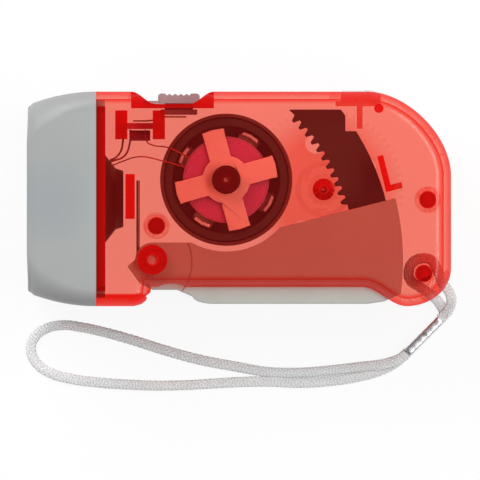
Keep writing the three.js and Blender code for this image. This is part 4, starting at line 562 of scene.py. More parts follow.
def braid_yarn():
    """Grey nylon yarn: twist marks along each strand, painted darker in the twist's grooves as shade, and a
    little soiled in patches.
    """
    m = Finish("braid_yarn")
    along = m.node("ShaderNodeAttribute", {"attribute_name": "along"})["Fac"]
    wave = m.math("SINE", along * stitch.rate + m.noise(scale=1500, detail=2.0))
    # Painted shade: the yarn's colour is darker where the twist's bump is low, in its grooves
    twist_with_groove_shade = m.between(wave, 0.5, 1)
    shade = m.mixed(twist_with_groove_shade, (0.72, 0.725, 0.73), (0.94, 0.945, 0.95))
    soiled = m.mixed(stitch.dirt_share, shade, (0.62, 0.61, 0.60))
    body = m.solid(
        Base_Color=m.mixed(m.noise(scale=130), shade, soiled),
        Roughness=m.between(twist_with_groove_shade, 0.72, 0.82),
        Specular_IOR_Level=0.15,
        Normal=m.bump(twist_with_groove_shade, 0.1, 0.02),
    )
    return m.done(body)


def studio_floor():
    """A pale floor that is white to the camera and in reflections, but keeps the shadow."""
    m = Finish("pale_floor")
    path = m.node("ShaderNodeLightPath")
    seen = (path["Is Camera Ray"] + path["Is Glossy Ray"] + path["Is Transmission Ray"]).clamped()
    shade = m.mixed(m.noise(scale=40, detail=2.0), (0.93, 0.93, 0.93), (0.96, 0.96, 0.96))
    paper = m.node("ShaderNodeBsdfDiffuse", Color=shade)[0]
    white = m.node("ShaderNodeEmission", Color=(1, 1, 1, 1), Strength=1.0)[0]
    return m.done(m.blended(seen * floor_white_share, paper, white))


finishes = Sizes(
    shell=see_through_red(
        "see_through_red", (1.0, 0.715, 0.665), (1.0, 0.22, 0.16), (0.97, 0.014, 0.007), 0.045, 0.11
    ),
    posts=see_through_red(
        "deep_red_posts", (0.95, 0.14, 0.11), (0.9, 0.07, 0.05), (0.97, 0.003, 0.002), 0.34, 0.12
    ),
    # The rotor's boss: the posts' red painted much darker, as painted shade of the dark hub under it
    bearing=see_through_red(
        "dark_red_bearing", (0.6, 0.05, 0.07), (0.45, 0.03, 0.04), (0.30, 0.002, 0.012), 0.4, 0.12
    ),
    lock=lock_plastic(),
    lever=moulded("lever_grey", (0.41, 0.43, 0.395), 0.38, 0.55),
    knob=moulded("knob_grey", (0.32, 0.24, 0.245), 0.4, 0.6, 0.06),
    hood=smoked_hood(),
    window=clear_plastic("lamp_window", (0.93, 0.96, 0.97), 0.06, 0.05),
    dish=mirrored_dish(),
    resin=clear_plastic("lamp_resin", (0.94, 0.95, 0.9), 0.16, 0.08),
    board=green_board(),
    black=moulded("black_plastic", (0.014, 0.009, 0.009), 0.4, 0.65, 0.08),
    rim=moulded("flywheel_rim", (0.085, 0.022, 0.022), 0.4, 0.6, 0.08),
    nylon=part_clear("clear_nylon", (0.99, 0.93, 0.91), (0.80, 0.74, 0.66), 0.03, 0.35, 0.5, 0.05),
    idler=cloudy_gear(),
    bobbin=part_clear("cloudy_bobbin", (0.99, 0.90, 0.98), (1.0, 0.30, 0.62), 0.3, 0.3, 0.45, 0.1),
    steel=brushed("bright_steel", (0.70, 0.66, 0.66), 0.22, 0.4, (1, 1, 0.08), 0.08, 0.5),
    # Pins lighter and pinker than the other steel: a painted glint where they show through the bosses' eyes
    pin=brushed("bright_pin", (0.78, 0.62, 0.62), 0.14, 0.3, (1, 1, 0.08), 0.08, 0.3),
    # Spring steel painted darker than the other steel: painted shade, as the spring is lit from behind
    spring=brushed("spring_steel", (0.23, 0.20, 0.20), 0.25, 0.45, (1, 1, 1)),
    claws=brushed("rolled_claw_steel", (1.0, 0.80, 0.75), 0.3, 0.5, (0.1, 1, 1), 0.08, 0.25),
    magnet=moulded("sintered_magnet", (0.03, 0.025, 0.025), 0.5, 0.8, 0.2, 0.3, 2200),
    copper=enamelled_copper(),
    brass=brushed("rolled_brass", (0.80, 0.60, 0.26), 0.2, 0.38, (0.1, 1, 1)),
    diode=moulded("diode_case", (0.36, 0.02, 0.09), 0.15, 0.3, 0.05),
    sleeve=moulded("wire_sleeve", (0.46, 0.06, 0.05), 0.35, 0.5, 0.03),
    laminate=moulded("phenolic_board", (0.72, 0.05, 0.15), 0.3, 0.5, 0.06),
    yarn=braid_yarn(),
    crimp=brushed("crimped_chrome", (0.74, 0.73, 0.76), 0.2, 0.42, (0.1, 1, 1), 0.15),
)


# Shapes, made in millimetres

def around(middle, half):
    return middle - half, middle + half


def arc(x, y, radius, start, end, count):
    steps = [math.radians(start + (end - start) * i / count) for i in range(count + 1)]
    return [(x + radius * math.cos(a), y + radius * math.sin(a)) for a in steps]


def circle(x, y, radius, count, start=0):
    return arc(x, y, radius, start, start + 360, count)[:-1]


def s_bend(x0, y0, x1, y1):
    shares = [i / fine.bend for i in range(fine.bend + 1)]
    return [(x0 + (x1 - x0) * s, y0 + (y1 - y0) * (1 - math.cos(math.pi * s)) / 2) for s in shares]


def linked(name, data):
    obj = bpy.data.objects.new(name, data)
    bpy.context.scene.collection.objects.link(obj)
    return obj


def made_object(name, points, faces):
    mesh = bpy.data.meshes.new(name)
    mesh.from_pydata(points, [], faces)
    return linked(name, mesh)


@contextmanager
def opened(mesh):
    """A mesh's vertices and faces, to be changed in place."""
    bm = bmesh.new()
    bm.from_mesh(mesh)
    yield bm
    bm.to_mesh(mesh)
    bm.free()


def loft(name, rings, closed=False):
    """A skin over rings of equal count, capped at both ends or closed on itself."""
    count = len(rings[0])
    starts = [count * r for r in range(len(rings))]
    if closed:
        starts.append(0)
    faces = [
        (a + i, a + (i + 1) % count, b + (i + 1) % count, b + i)
        for a, b in zip(starts, starts[1:])
        for i in range(count)
    ]
    if not closed:
        faces.append(tuple(reversed(range(count))))
        faces.append(tuple(range(starts[-1], starts[-1] + count)))
    obj = made_object(name, [point for ring in rings for point in ring], faces)
    with opened(obj.data) as bm:
        bmesh.ops.remove_doubles(bm, verts=bm.verts, dist=near.outward)
        bmesh.ops.recalc_face_normals(bm, faces=bm.faces)
    return obj


def prism(name, outline, levels):
    return loft(name, [[(x, y, z) for x, y in outline] for z in levels])


def block(name, along, up, levels):
    (x0, x1), (y0, y1) = along, up
    return prism(name, [(x0, y0), (x1, y0), (x1, y1), (x0, y1)], levels)


def rod(name, x, y, radius, levels, count=fine.small):
    return prism(name, circle(x, y, radius, count), levels)


def turned_x(name, profile, y, z, count):
    """Turned about a line along X, from a profile of (x, radius)."""
    return loft(name, [[(x, py, pz) for py, pz in circle(y, z, r, count)] for x, r in profile])


def turned_z(name, profile, x, y, count, closed=True):
    """Turned about a line along Z, from a profile of (radius, z)."""
    return loft(name, [[(px, py, z) for px, py in circle(x, y, r, count)] for r, z in profile], closed)


def evaluated(obj):
    depsgraph = bpy.context.evaluated_depsgraph_get()
    return bpy.data.meshes.new_from_object(obj.evaluated_get(depsgraph))


def plain(obj):
    """The object with its modifiers worked into its mesh."""
    mesh = evaluated(obj)
    obj.modifiers.clear()
    obj.data = mesh
    return obj


def modified(obj, kind, **settings):
    step = obj.modifiers.new(kind, kind)
    for name, value in settings.items():
        setattr(step, name, value)
    return plain(obj)


def combined(body, operation, tools):
    """The body with the tools cut from it or added to it."""
    bench = bpy.data.collections.new("bench")
    for tool in tools:
        bench.objects.link(tool)
    modified(
        body, "BOOLEAN", operation=operation, operand_type="COLLECTION", collection=bench,
        solver="EXACT", use_self=True,
    )
    for tool in tools:
        bpy.data.objects.remove(tool)
    bpy.data.collections.remove(bench)
    return body


def joined(name, parts):
    mesh = bpy.data.meshes.new(name)
    with opened(mesh) as bm:
        for part in parts:
            bm.from_mesh(part.data)
    for part in parts:
        bpy.data.objects.remove(part)
    return linked(name, mesh)


def rounded(obj, width, segments=2, angle=bend.edge):
    """Small round edges where faces meet at more than an angle."""
    return modified(
        obj, "BEVEL", width=width, segments=segments, limit_method="ANGLE",
        angle_limit=math.radians(angle), use_clamp_overlap=False, harden_normals=False,
    )


def finished(obj, finish, body, nodes, smooth=sharp.plain):
    """The piece in metres, with its finish, riding on its body in place of its CAD nodes."""
    obj.data.transform(Matrix.Scale(1 / METRE, 4))
    obj.data.materials.clear()
    obj.data.materials.append(finish)
    obj.data.set_sharp_from_angle(angle=math.radians(smooth))
    obj.data.polygons.foreach_set("use_smooth", [True] * len(obj.data.polygons))
    modified(obj, "WEIGHTED_NORMAL", keep_sharp=True)
    if body:
        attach(obj, body)
    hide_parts(*nodes)
    return obj


def softened(node, finish, width):
    """A CAD node's own shape with small round edges, in its place."""
    source = frame["nodes"][node]
    obj = linked(f"{node}_part", source.data.copy())
    obj.data.transform(Matrix.Scale(METRE, 4))
    with opened(obj.data) as bm:
        bmesh.ops.remove_doubles(bm, verts=bm.verts, dist=near.cad)
        bmesh.ops.dissolve_limit(bm, angle_limit=math.radians(bend.flat), verts=bm.verts, edges=bm.edges)
        many_sided = [face for face in bm.faces if len(face.verts) > 4]
        bmesh.ops.triangulate(bm, faces=many_sided, ngon_method="EAR_CLIP")
    return finished(rounded(obj, width), finish, source["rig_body"], [node])


# Casing

def casing_outline():
    """The side view's outline, from the front top round the rear to the front bottom."""
    c = casing
    reach = c.top_corner * (1 - c.handle_share)
    knots = [
        Vector((c.rear - c.top_corner, c.top)),
        Vector((c.rear - reach, c.top)),
        Vector((c.rear, c.top - reach)),
        Vector((c.rear, c.top - c.top_corner)),
    ]
    corner = []
    for i in range(fine.corner + 1):
        s = i / fine.corner
        shares = ((1 - s) ** 3, 3 * s * (1 - s) ** 2, 3 * s**2 * (1 - s), s**3)
        corner.append(tuple(sum((k * w for k, w in zip(knots, shares)), Vector((0, 0)))))
    rear = [
        (c.rear - c.rear_length * (1 - x), c.base + c.rear_height * (1 + y))
        for x, y in arc(0, 0, 1, 0, -90, fine.bend)
    ]
    bulge = c.rear - c.rear_length
    start = c.front - c.edge - overrun
    sweep = s_bend(bulge, c.base, bulge - c.rear_sweep, c.grip)[1:]
    return [(start, c.top), *corner, *rear, *sweep, *c.nose, (start, c.base)]


def moved_in(points, distance):
    """The outline moved inwards, each point along its own normal."""
    moved = []
    for i, (x, y) in enumerate(points):
        here = Vector((x, y))
        a = (here - Vector(points[i - 1])).normalized()
        b = (Vector(points[(i + 1) % len(points)]) - here).normalized()
        normal = Vector((a.y + b.y, -a.x - b.x)).normalized()
        along = normal.x * a.y - normal.y * a.x
        moved.append(tuple(here + normal * (distance / along)))
    return moved


def domed_half(name, margin, radius, start, side, up):
    """Half of the casing's form: straight sides, then a round edge up to the flat side."""
    outline = casing_outline()
    rings = [[(x, y, start) for x, y in moved_in(outline, margin)]]
    for i in range(fine.edge + 1):
        angle = math.pi / 2 * i / fine.edge
        level = side - up * radius * (1 - math.sin(angle))
        inset = margin + radius * (1 - math.cos(angle))
        rings.append([(x, y, level) for x, y in moved_in(outline, inset)])
    return loft(name, rings)


def recess_line():
    """The thumb recess, from its front edge down to its floor and up again."""
    r = recess
    return [
        *s_bend(r.start, casing.top, r.start + r.slope, recess_level),
        *s_bend(r.end - r.slope, recess_level, r.end, casing.top),
    ]


def strips(low, high):
    """Levels that cut a prism's curved sides into strips, so that they stay smooth round a hole."""
    count = round((high - low) / recess.strip)
    return [low + (high - low) * i / count for i in range(count + 1)]


def recess_tool():
    above = casing.top + overrun
    outline = [*recess_line(), (recess.end, above), (recess.start, above)]
    return prism("recess_tool", outline, strips(*through))


def stem_tool():
    w = slide_window
    up = (recess_level - recess.floor - overrun, casing.top)
    return block("stem_tool", (w.stem_start, w.stem_end), up, around(casing.mid, w.stem_half))


def lever_window_tool():
    w = lever_window
    low = casing.base - overrun
    high = casing.grip + casing.wall
    rear = [(pivot.x + math.sqrt(w.reach**2 - (y - pivot.y) ** 2), y) for y in (low, high)]
    return prism("lever_window_tool", [(w.start, low), *rear, (w.start, high)], (w.low, w.high))


def strap_tool():
    w = strap_window
    along = (w.near, w.near + w.along)
    tool = block("strap_tool", along, around(0, w.width / 2), around(0, w.height / 2))
    turn = Matrix.Rotation(math.radians(w.turn), 4, "Z")
    tool.data.transform(Matrix.Translation((w.x, w.y, w.level)) @ turn)
    return tool


def shell_tools():
    c, slide, lock = casing, slide_window, lock_window
    above = c.top + overrun
    return [
        recess_tool(),
        lever_window_tool(),
        block("knob_tool", (slide.start, slide.end), (recess_level, above), around(c.mid, slide.half)),
        stem_tool(),
        block(
            "lock_tool", (lock.start, lock.end), (c.top - lock.depth - overrun, above),
            around(c.mid, lock.half),
        ),
        rod("arch_tool", arch.x, arch.y, arch.radius, through, fine.round),
        prism("notch_tool", c.notch, through),
        block("front_tool", (c.front - c.edge - overrun * 2, c.front), (c.base - overrun, above), through),
    ]


def shell_half(name, node, side, up):
    """One half of the casing's wall, open towards the other half."""
    c = casing
    outer = domed_half(name, 0, c.edge, c.mid, side, up)
    hollow = domed_half("hollow", c.wall, c.edge - c.wall, c.mid - up * overrun, side - up * c.wall, up)
    tools = [hollow, *shell_tools()]
    if up < 0:
        tools.append(strap_tool())
        room = case_screw.head + case_screw.room
        tools += [rod("head_tool", x, y, room, around(0, overrun)) for x, y in screws.places]
    combined(outer, "DIFFERENCE", tools)
    finished(outer, finishes.shell, "casing", [node])


def stop_rib_part():
    r = stop_rib
    turn = Matrix.Rotation(math.radians(r.turn), 2)
    outline = [(0, 0), (r.foot, 0), (r.foot, r.wall), (r.wall, r.wall), (r.wall, r.tall), (0, r.tall)]
    centre = Vector((pivot.x, pivot.y))
    placed = [centre + turn @ Vector((r.along + x, r.above + y)) for x, y in outline]
    return prism("stop_rib", placed, (r.low, casing.roof))


def tub_part(levels):
    """The thick floor under the thumb recess."""
    under = recess_level - recess.floor
    outline = [(recess.start, under), *recess_line(), (recess.end, under)]
    return combined(prism("tub", outline, strips(*levels)), "DIFFERENCE", [stem_tool()])


def joint_rib_parts(levels, side, inner):
    """The rib that backs the head's collar, down both long walls and across the side."""
    r = joint_rib
    along = (r.start, r.end)
    top, base = casing.top - r.inset, casing.base + r.inset
    return [
        block("rib_top", along, (top - r.width, top), levels),
        block("rib_base", along, (base, base + r.width), levels),
        block("rib_side", along, (base, top), sorted((side, inner))),
    ]


def post(x, y, radius, levels):
    return rod("post", x, y, radius, levels, fine.round)


def foot_boss(axle, radius):
    """The lower boss of an axle, with its bore."""
    profile = [(axle.bore, casing.floor), (radius, casing.floor), (radius, axle.foot), (axle.bore, axle.foot)]
    return turned_z("boss", profile, axle.x, axle.y, fine.round)


def blind_post(x, y, radius, bore, low, end, eye=0):
    """A boss whose bore ends under its roof, or narrows to a small eye that shows its pin."""
    profile = [(bore, end), (bore, low), (radius, low), (radius, casing.roof)]
    if eye:
        profile = [(eye, end), *profile, (eye, casing.roof)]
    return turned_z("boss", profile, x, y, fine.round, eye > 0)


def axle_boss(axle):
    return blind_post(axle.x, axle.y, axle.boss, axle.bore, axle.seat, axle_end, axle.eye)


def board_posts(levels):
    p = board_post
    return [block("board_post", (x, x + p.length), (p.top - p.height, p.top), levels) for x in p.starts]


def upper_posts():
    c, rib = casing, back_rib
    levels = (c.mid, c.roof)
    return [
        tub_part(levels),
        axle_boss(pivot),
        axle_boss(idler_axle),
        post(pip.x, pip.y, pip.radius, (pip.low, c.roof)),
        *[blind_post(x, y, screws.post, screws.bore, c.mid, screws.end) for x, y in screws.places],
        stop_rib_part(),
        block("back_rib", (rib.x, rib.x + rib.length), around(rib.y, rib.width / 2), (rib.low, c.roof)),
        *board_posts((c.mid + board_post.inner, c.roof)),
        *joint_rib_parts(levels, c.roof, c.roof - joint_rib.width),
    ]


def lower_posts():
    c = casing
    levels = (c.floor, c.mid)
    return [
        tub_part(levels),
        foot_boss(pivot, pivot.boss),
        foot_boss(rotor_axle, rotor_axle.low_boss),
        foot_boss(idler_axle, idler_axle.boss),
        *[post(x, y, screws.post, levels) for x, y in screws.places],
        *board_posts((c.floor, c.mid - board_post.inner)),
        *joint_rib_parts(levels, c.floor, c.floor + joint_rib.width),
    ]


def make_casing():
    shell_half("upper_wall", "upper_shell", casing.depth, 1)
    shell_half("lower_wall", "lower_shell", 0, -1)
    feet = [post(x, y, screws.foot, (casing.floor, screws.foot_top)) for x, y in screws.places]
    for name, node, parts, finish in (
        ("upper_posts", "upper_shell", upper_posts(), finishes.posts),
        ("lower_posts", "lower_shell", lower_posts(), finishes.posts),
        ("screw_feet", "lower_shell", feet, finishes.shell),
        # The rotor's boss, in its painted shade finish
        ("boss", "upper_shell", [axle_boss(rotor_axle)], finishes.bearing),
    ):
        finished(rounded(joined(name, parts), rounds.post), finish, "casing", [node])


# Lever

def from_pivot(x, y):
    return pivot.x + x, pivot.y + y


def finger_line(rise, reach):
    """The finger face from the neck to the round end, moved up by some thickness."""
    v = lever
    drop, neck = v.drop - rise, v.neck - rise
    end_drop = drop - v.round_rise
    end = math.sqrt(reach**2 - end_drop**2)
    middle, half = -(neck + drop) / 2, (drop - neck) / 2
    curve = [
        (v.shoulder + v.shoulder_curve * (1 + x), middle + half * y)
        for x, y in arc(0, 0, 1, 180, 270, fine.bend)
    ]
    line = [
        (v.neck_length, -neck),
        *curve,
        (end - v.round_end, -drop),
        (end - v.round_end / 2, -drop + v.round_rise / 4),
        (end, -end_drop),
    ]
    return [from_pivot(x, y) for x, y in line]


def end_arc(rise, reach, top):
    low = -math.degrees(math.asin((lever.drop - rise - lever.round_rise) / reach))
    return arc(pivot.x, pivot.y, reach, low, top, fine.bend)[1:]


def lever_outline():
    v = lever
    return [
        from_pivot(-v.tail_reach, -v.tail_drop),
        from_pivot(-v.tail_reach / 2, -v.neck + v.tail_drop),
        from_pivot(0, -v.neck),
        *finger_line(0, v.reach),
        *end_arc(0, v.reach, v.top),
        from_pivot(v.hub_radius / math.tan(math.radians(v.top)), v.hub_radius),
        *arc(pivot.x, pivot.y, v.hub_radius, 90, 180, fine.bend),
    ]


def lever_hollow(reach, levels):
    v = lever
    front = pivot.x - v.tail_reach - overrun
    outline = [
        (front, pivot.y - v.neck + v.web),
        *finger_line(v.web, reach),
        *end_arc(v.web, reach, v.hollow_top),
        (front, pivot.y + v.reach / 2),
    ]
    return prism("hollow_tool", outline, levels)


def make_lever():
    """The channel-shaped lever: two side plates, the finger face, the hub and the sector's ledge."""
    v = lever
    body = prism("squeeze_lever", lever_outline(), (v.low, v.high))
    low, high = v.low + v.wall, v.high - v.wall
    main = lever_hollow(v.reach - v.wall, (low, high))
    open_end = lever_hollow(v.reach + overrun, (low, v.shelf_low))
    combined(body, "DIFFERENCE", [main, open_end])
    ledge = [
        *arc(pivot.x, pivot.y, v.reach - v.wall / 2, v.shelf_from, v.shelf_to, fine.bend),
        *arc(pivot.x, pivot.y, v.shelf_inner, v.shelf_to, v.shelf_from, fine.bend),
    ]
    hub = rod("hub", pivot.x, pivot.y, v.hub_tube, (v.low, v.high))
    combined(body, "UNION", [hub, prism("ledge", ledge, (v.shelf_low, v.shelf_top))])
    side = (0, casing.depth)
    step = (pivot.x + v.step_x, pivot.y + v.step_y, v.step_radius)
    cuts = [
        rod("rotor_room", rotor_axle.x, rotor_axle.y, v.room, side, fine.plate),
        rod("pin_bore", pivot.x, pivot.y, v.bore, side),
        rod("step", *step, (v.high - v.step_depth, casing.depth), fine.plate),
        rod("step", *step, (0, v.low + v.step_depth), fine.plate),
    ]
    combined(body, "DIFFERENCE", cuts)
    finished(rounded(body, rounds.lever, 3), finishes.lever, "lever_arm", ["lever"])


# Switch knob

def make_knob():
    k = knob
    ribs = []
    count = k.ribs * k.rib_points
    for i in range(count + 1):
        wave = (1 + math.cos(2 * math.pi * k.ribs * i / count)) / 2
        depth = k.rib_depth * (k.crest_share + (1 - k.crest_share) * wave)
        ribs.append((k.ribs_start + k.rib_pitch * k.ribs * i / count, k.top - depth))
    shoulder = k.round / 2
    corner = k.top - k.round
    outline = [
        (k.start, k.base),
        *reversed(arc(k.start + k.round, corner, k.round, 90, 180, fine.edge)),
        (k.ribs_start - shoulder, k.top),
        *ribs,
        (ribs[-1][0] + shoulder, k.top),
        *reversed(arc(k.end - k.round, corner, k.round, 0, 90, fine.edge)),
        (k.end, k.base),
    ]
    levels = around(casing.mid, k.half)
    body = rounded(prism("switch_knob_part", outline, levels), rounds.knob, 2, bend.knob)
    foot = block("foot", (k.start - k.foot, k.start + shoulder), (k.base, k.base + k.foot_height), levels)
    stem = block(
        "stem", (k.stem_start, k.stem_end), (k.carrier_top, k.base), around(casing.mid, k.stem_half)
    )
    carrier = block(
        "carrier", (k.carrier_start, k.carrier_end), (k.carrier_top - k.carrier, k.carrier_top),
        around(casing.mid, k.carrier_half),
    )
    rest = rounded(joined("rest", [foot, stem, carrier]), rounds.post)
    made = joined("switch_knob_part", [body, rest])
    finished(made, finishes.knob, "switch_knob", ["switch_slider"])


# Lamp head

def hood_sizes(share):
    """Half height, half depth and corner radius at a share of the hood's length."""
    h = hood
    swell = 1 - (1 - share) ** 2
    pairs = ((h.front_height, h.rear_height), (h.front_depth, h.rear_depth))
    halves = [(front + (rear - front) * swell) / 2 for front, rear in pairs]
    return (*halves, h.front_corner + (h.rear_corner - h.front_corner) * swell)


def head_ring(x, sizes, inner):
    half_height, half_depth, corner = sizes
    corner = max(corner - inner, hood.gap)
    high, deep = half_height - inner - corner, half_depth - inner - corner
    ring = []
    for quarter, (sy, sz) in enumerate(((1, 1), (-1, 1), (-1, -1), (1, -1))):
        start = 90 * quarter
        for py, pz in arc(sy * high, sz * deep, corner, start, start + 90, fine.edge):
            ring.append((x, casing.axis + py, casing.mid + pz))
    return ring


def hood_ring(share, inner, x=None):
    at = hood.front + hood.length * share if x is None else x
    return head_ring(at, hood_sizes(share), inner)


def rim_ring(inner, ahead):
    """A ring of the hood's rim, which bulges forward above and below its middle."""
    half_height = hood_sizes(0)[0]
    moved = []
    for x, y, z in hood_ring(0, inner, hood.front + ahead):
        height = (y - casing.axis) / half_height
        dip = hood.wave * math.cos(math.pi * height) ** 2 * (1 - abs(height) / 2)
        moved.append((x + dip, y, z))
    return moved


def make_hood():
    h = hood
    shares = [i / h.rings for i in range(2, h.rings + 1)]
    lip = h.wall / 2
    inset = casing.wall + h.gap
    joint = casing.front
    steps = ((0, 0), (h.collar, 0), (h.collar, h.collar_wall), (-h.collar, h.collar_wall))
    rings = [
        *[rim_ring(lip * inner, lip * ahead) for inner, ahead in h.rim_shares],
        *[hood_ring(s, 0) for s in shares],
        *[head_ring(joint + ahead, hood_sizes(1), inset + extra) for ahead, extra in steps],
        *[hood_ring(s, h.wall) for s in reversed(shares[:-1])],
        *[rim_ring(h.wall * inner, lip * ahead) for inner, ahead in h.back_shares],
    ]
    made = loft("lamp_hood", rings, True)
    finished(made, finishes.hood, "casing", ["hood"], sharp.lamp)


def make_window():
    w = window
    share = (w.front - hood.front) / hood.length
    clear = hood.wall + w.room
    rings = [
        hood_ring(share, clear, w.front + w.thickness),
        hood_ring(share, clear, w.front + w.crown),
    ]
    for s in w.crown_shares:
        rings.append(hood_ring(share, clear + s * w.crown_reach, w.front + w.crown * (1 - s) ** 2))
    finished(loft("lamp_window", rings), finishes.window, "casing", ["lens"], sharp.cast)


def filled_in(ring):
    """The ring with points added along its straight sides."""
    points = []
    for i, start in enumerate(ring):
        here, there = Vector(start), Vector(ring[(i + 1) % len(ring)])
        count = max(1, round((there - here).length / dish.step))
        points += [tuple(here.lerp(there, j / count)) for j in range(count)]
    return points


def make_dish():
    """A chromed plate that fills the head, with a round bowl and a flat floor."""
    d = dish
    share = (d.front - hood.front) / hood.length
    floor = d.back - d.wall
    clear = hood.wall + window.room
    edge, behind = (filled_in(hood_ring(share, clear, x)) for x in (d.front, d.front + d.flange))
    angles = [math.atan2(z - casing.mid, y - casing.axis) for _, y, z in edge]
    shares = [i / d.rings for i in range(d.rings + 1)]

    def bowl_ring(x, radius):
        return [(x, casing.axis + radius * math.cos(a), casing.mid + radius * math.sin(a)) for a in angles]

    def bowl(start, wall):
        radii = [d.neck + (d.mouth - d.neck) * math.sqrt(1 - s) + wall for s in shares]
        return [bowl_ring(start + (floor - start) * s, radius) for s, radius in zip(shares, radii)]

    rings = [
        bowl_ring(d.back, d.tip),
        bowl_ring(d.back, d.neck + d.wall),
        *reversed(bowl(d.front + d.flange, d.wall)),
        behind,
        edge,
        *bowl(d.front, 0),
        bowl_ring(floor, d.neck * d.floor_share),
        bowl_ring(floor, d.tip),
    ]
    finished(loft("lamp_dish", rings), finishes.dish, "casing", ["reflector"], sharp.cast)


# Repeats and wound pieces, by geometry nodes

class Growth(Graph):
    """A geometry tree with a geometry, a material and named values of each kind."""

    def __init__(self, name, **kinds):
        super().__init__(bpy.data.node_groups.new(name, "GeometryNodeTree"))
        self.ids = {}
        for kind, labels in {"Geometry": ["Geometry"], **kinds, "Material": ["Material"]}.items():
            for label in labels:
                self.ids[label] = self.socket(label, "INPUT", kind).identifier
        self.socket("Geometry", "OUTPUT", "Geometry")
        self.given = self.node("NodeGroupInput")

    def socket(self, label, side, kind):
        return self.tree.interface.new_socket(label, in_out=side, socket_type=f"NodeSocket{kind}")

    def vector(self, x, y, z):
        return self.node("ShaderNodeCombineXYZ", X=x, Y=y, Z=z)[0]

    def ring(self, count, radius):
        return self.node("GeometryNodeCurvePrimitiveCircle", Resolution=count, Radius=radius)[0]

    def joined(self, *parts):
        return self.node("GeometryNodeJoinGeometry", Geometry=list(parts))[0]

    def realized(self, geometry):
        return self.node("GeometryNodeRealizeInstances", Geometry=geometry)[0]

    def repeated(self, line, count):
        return self.node("GeometryNodeDuplicateElements", {"domain": "SPLINE"}, Geometry=line, Amount=count)

    def moved(self, geometry, **how):
        return self.node("GeometryNodeSetPosition", Geometry=geometry, **how)[0]

    def placed(self, geometry, **how):
        return self.node("GeometryNodeTransform", Geometry=geometry, **how)[0]

    def route(self):
        """The given curve with a point at every step."""
        line, step = self.given["Geometry"], self.given["Step"]
        return self.node("GeometryNodeResampleCurve", {"mode": "LENGTH"}, Curve=line, Length=step)[0]

    def tubes(self, lines, sides, radius):
        wire = self.ring(sides, radius)
        return self.node("GeometryNodeCurveToMesh", Curve=lines, Profile_Curve=wire, Fill_Caps=True)[0]

    def closed(self, geometry):
        material = self.given["Material"]
        solid = self.realized(geometry)
        painted = self.node("GeometryNodeSetMaterial", Geometry=solid, Material=material)[0]
        self.node("NodeGroupOutput", Geometry=painted)
        return self


def grown(name, tree, finish, source=None, **values):
    """The plain mesh that a tree makes from its named values."""
    obj = linked(name, source or bpy.data.meshes.new(name))
    step = obj.modifiers.new("grown", "NODES")
    step.node_group = tree.tree
    for label, value in {**values, "Material": finish}.items():
        step[tree.ids[label.replace("_", " ")]] = value
    mesh = evaluated(obj)
    bpy.data.objects.remove(obj)
    return linked(name, mesh)


def toothed_wheel():
    """A spur gear with a bore and a ring of round holes in its web."""
    g = Growth(
        "toothed_wheel",
        Int=("Teeth", "Holes"),
        Float=("Tip Radius", "Root Radius", "Bore", "Hole Radius", "Hole Circle", "Thickness", "Turn"),
        Vector=("Centre",),
    )
    v = g.given
    share = g.math("FRACT", g.node("GeometryNodeInputIndex")[0] / tooth.points)
    from_tooth = g.math("ABSOLUTE", share * 2 - 1)
    height = ((tooth.width_share - from_tooth) / tooth.flank_share).clamped()
    reach = v["Root Radius"] + (v["Tip Radius"] - v["Root Radius"]) * height
    here = g.node("GeometryNodeInputPosition")[0]
    teeth = g.moved(g.ring(v["Teeth"] * tooth.points, 1.0), Position=g.vectors("SCALE", here, reach))
    spots = g.node("GeometryNodeMeshCircle", Vertices=v["Holes"], Radius=v["Hole Circle"])[0]
    hole = g.ring(fine.small, v["Hole Radius"])
    holes = g.node("GeometryNodeInstanceOnPoints", Points=spots, Instance=hole)[0]
    outline = g.joined(teeth, g.ring(fine.small, v["Bore"]), g.realized(holes))
    face = g.node("GeometryNodeFillCurve", Curve=outline)[0]
    up = g.vector(0.0, 0.0, 1.0)
    raised = g.node(
        "GeometryNodeExtrudeMesh",
        {"mode": "FACES"},
        Mesh=face, Offset=up, Offset_Scale=v["Thickness"], Individual=False,
    )[0]
    under = g.node("GeometryNodeFlipFaces", Mesh=face)[0]
    both = g.joined(raised, under)
    whole = g.node("GeometryNodeMergeByDistance", Geometry=both, Distance=near.wheel)[0]
    turn = g.vector(0.0, 0.0, v["Turn"])
    return g.closed(g.placed(whole, Translation=v["Centre"], Rotation=turn))


def wound_layers():
    """Layers of wire wound one over the other, each an unbroken screw line."""
    g = Growth(
        "wound_layers",
        Int=("Layers",),
        Float=("Turns", "Outer Radius", "Layer Pitch", "Height", "Wire Radius"),
        Vector=("Centre",),
    )
    v = g.given
    line = g.node(
        "GeometryNodeCurveSpiral",
        Resolution=fine.small, Rotations=v["Turns"], Start_Radius=1.0, End_Radius=1.0,
        Height=v["Height"], Reverse=False,
    )[0]
    copies = g.repeated(line, v["Layers"])
    reach = v["Outer Radius"] - copies["Duplicate Index"] * v["Layer Pitch"]
    here = g.node("GeometryNodeInputPosition")[0]
    spread = g.vectors("MULTIPLY", here, g.vector(reach, reach, 1.0))
    layers = g.moved(copies["Geometry"], Position=spread)
    mesh = g.tubes(layers, fine.yarn, v["Wire Radius"])
    return g.closed(g.placed(mesh, Translation=v["Centre"]))


def wire_along():
    """A round wire along the route that it is given."""
    g = Growth("wire_along", Int=("Sides",), Float=("Wire Radius", "Step"))
    return g.closed(g.tubes(g.route(), g.given["Sides"], g.given["Wire Radius"]))


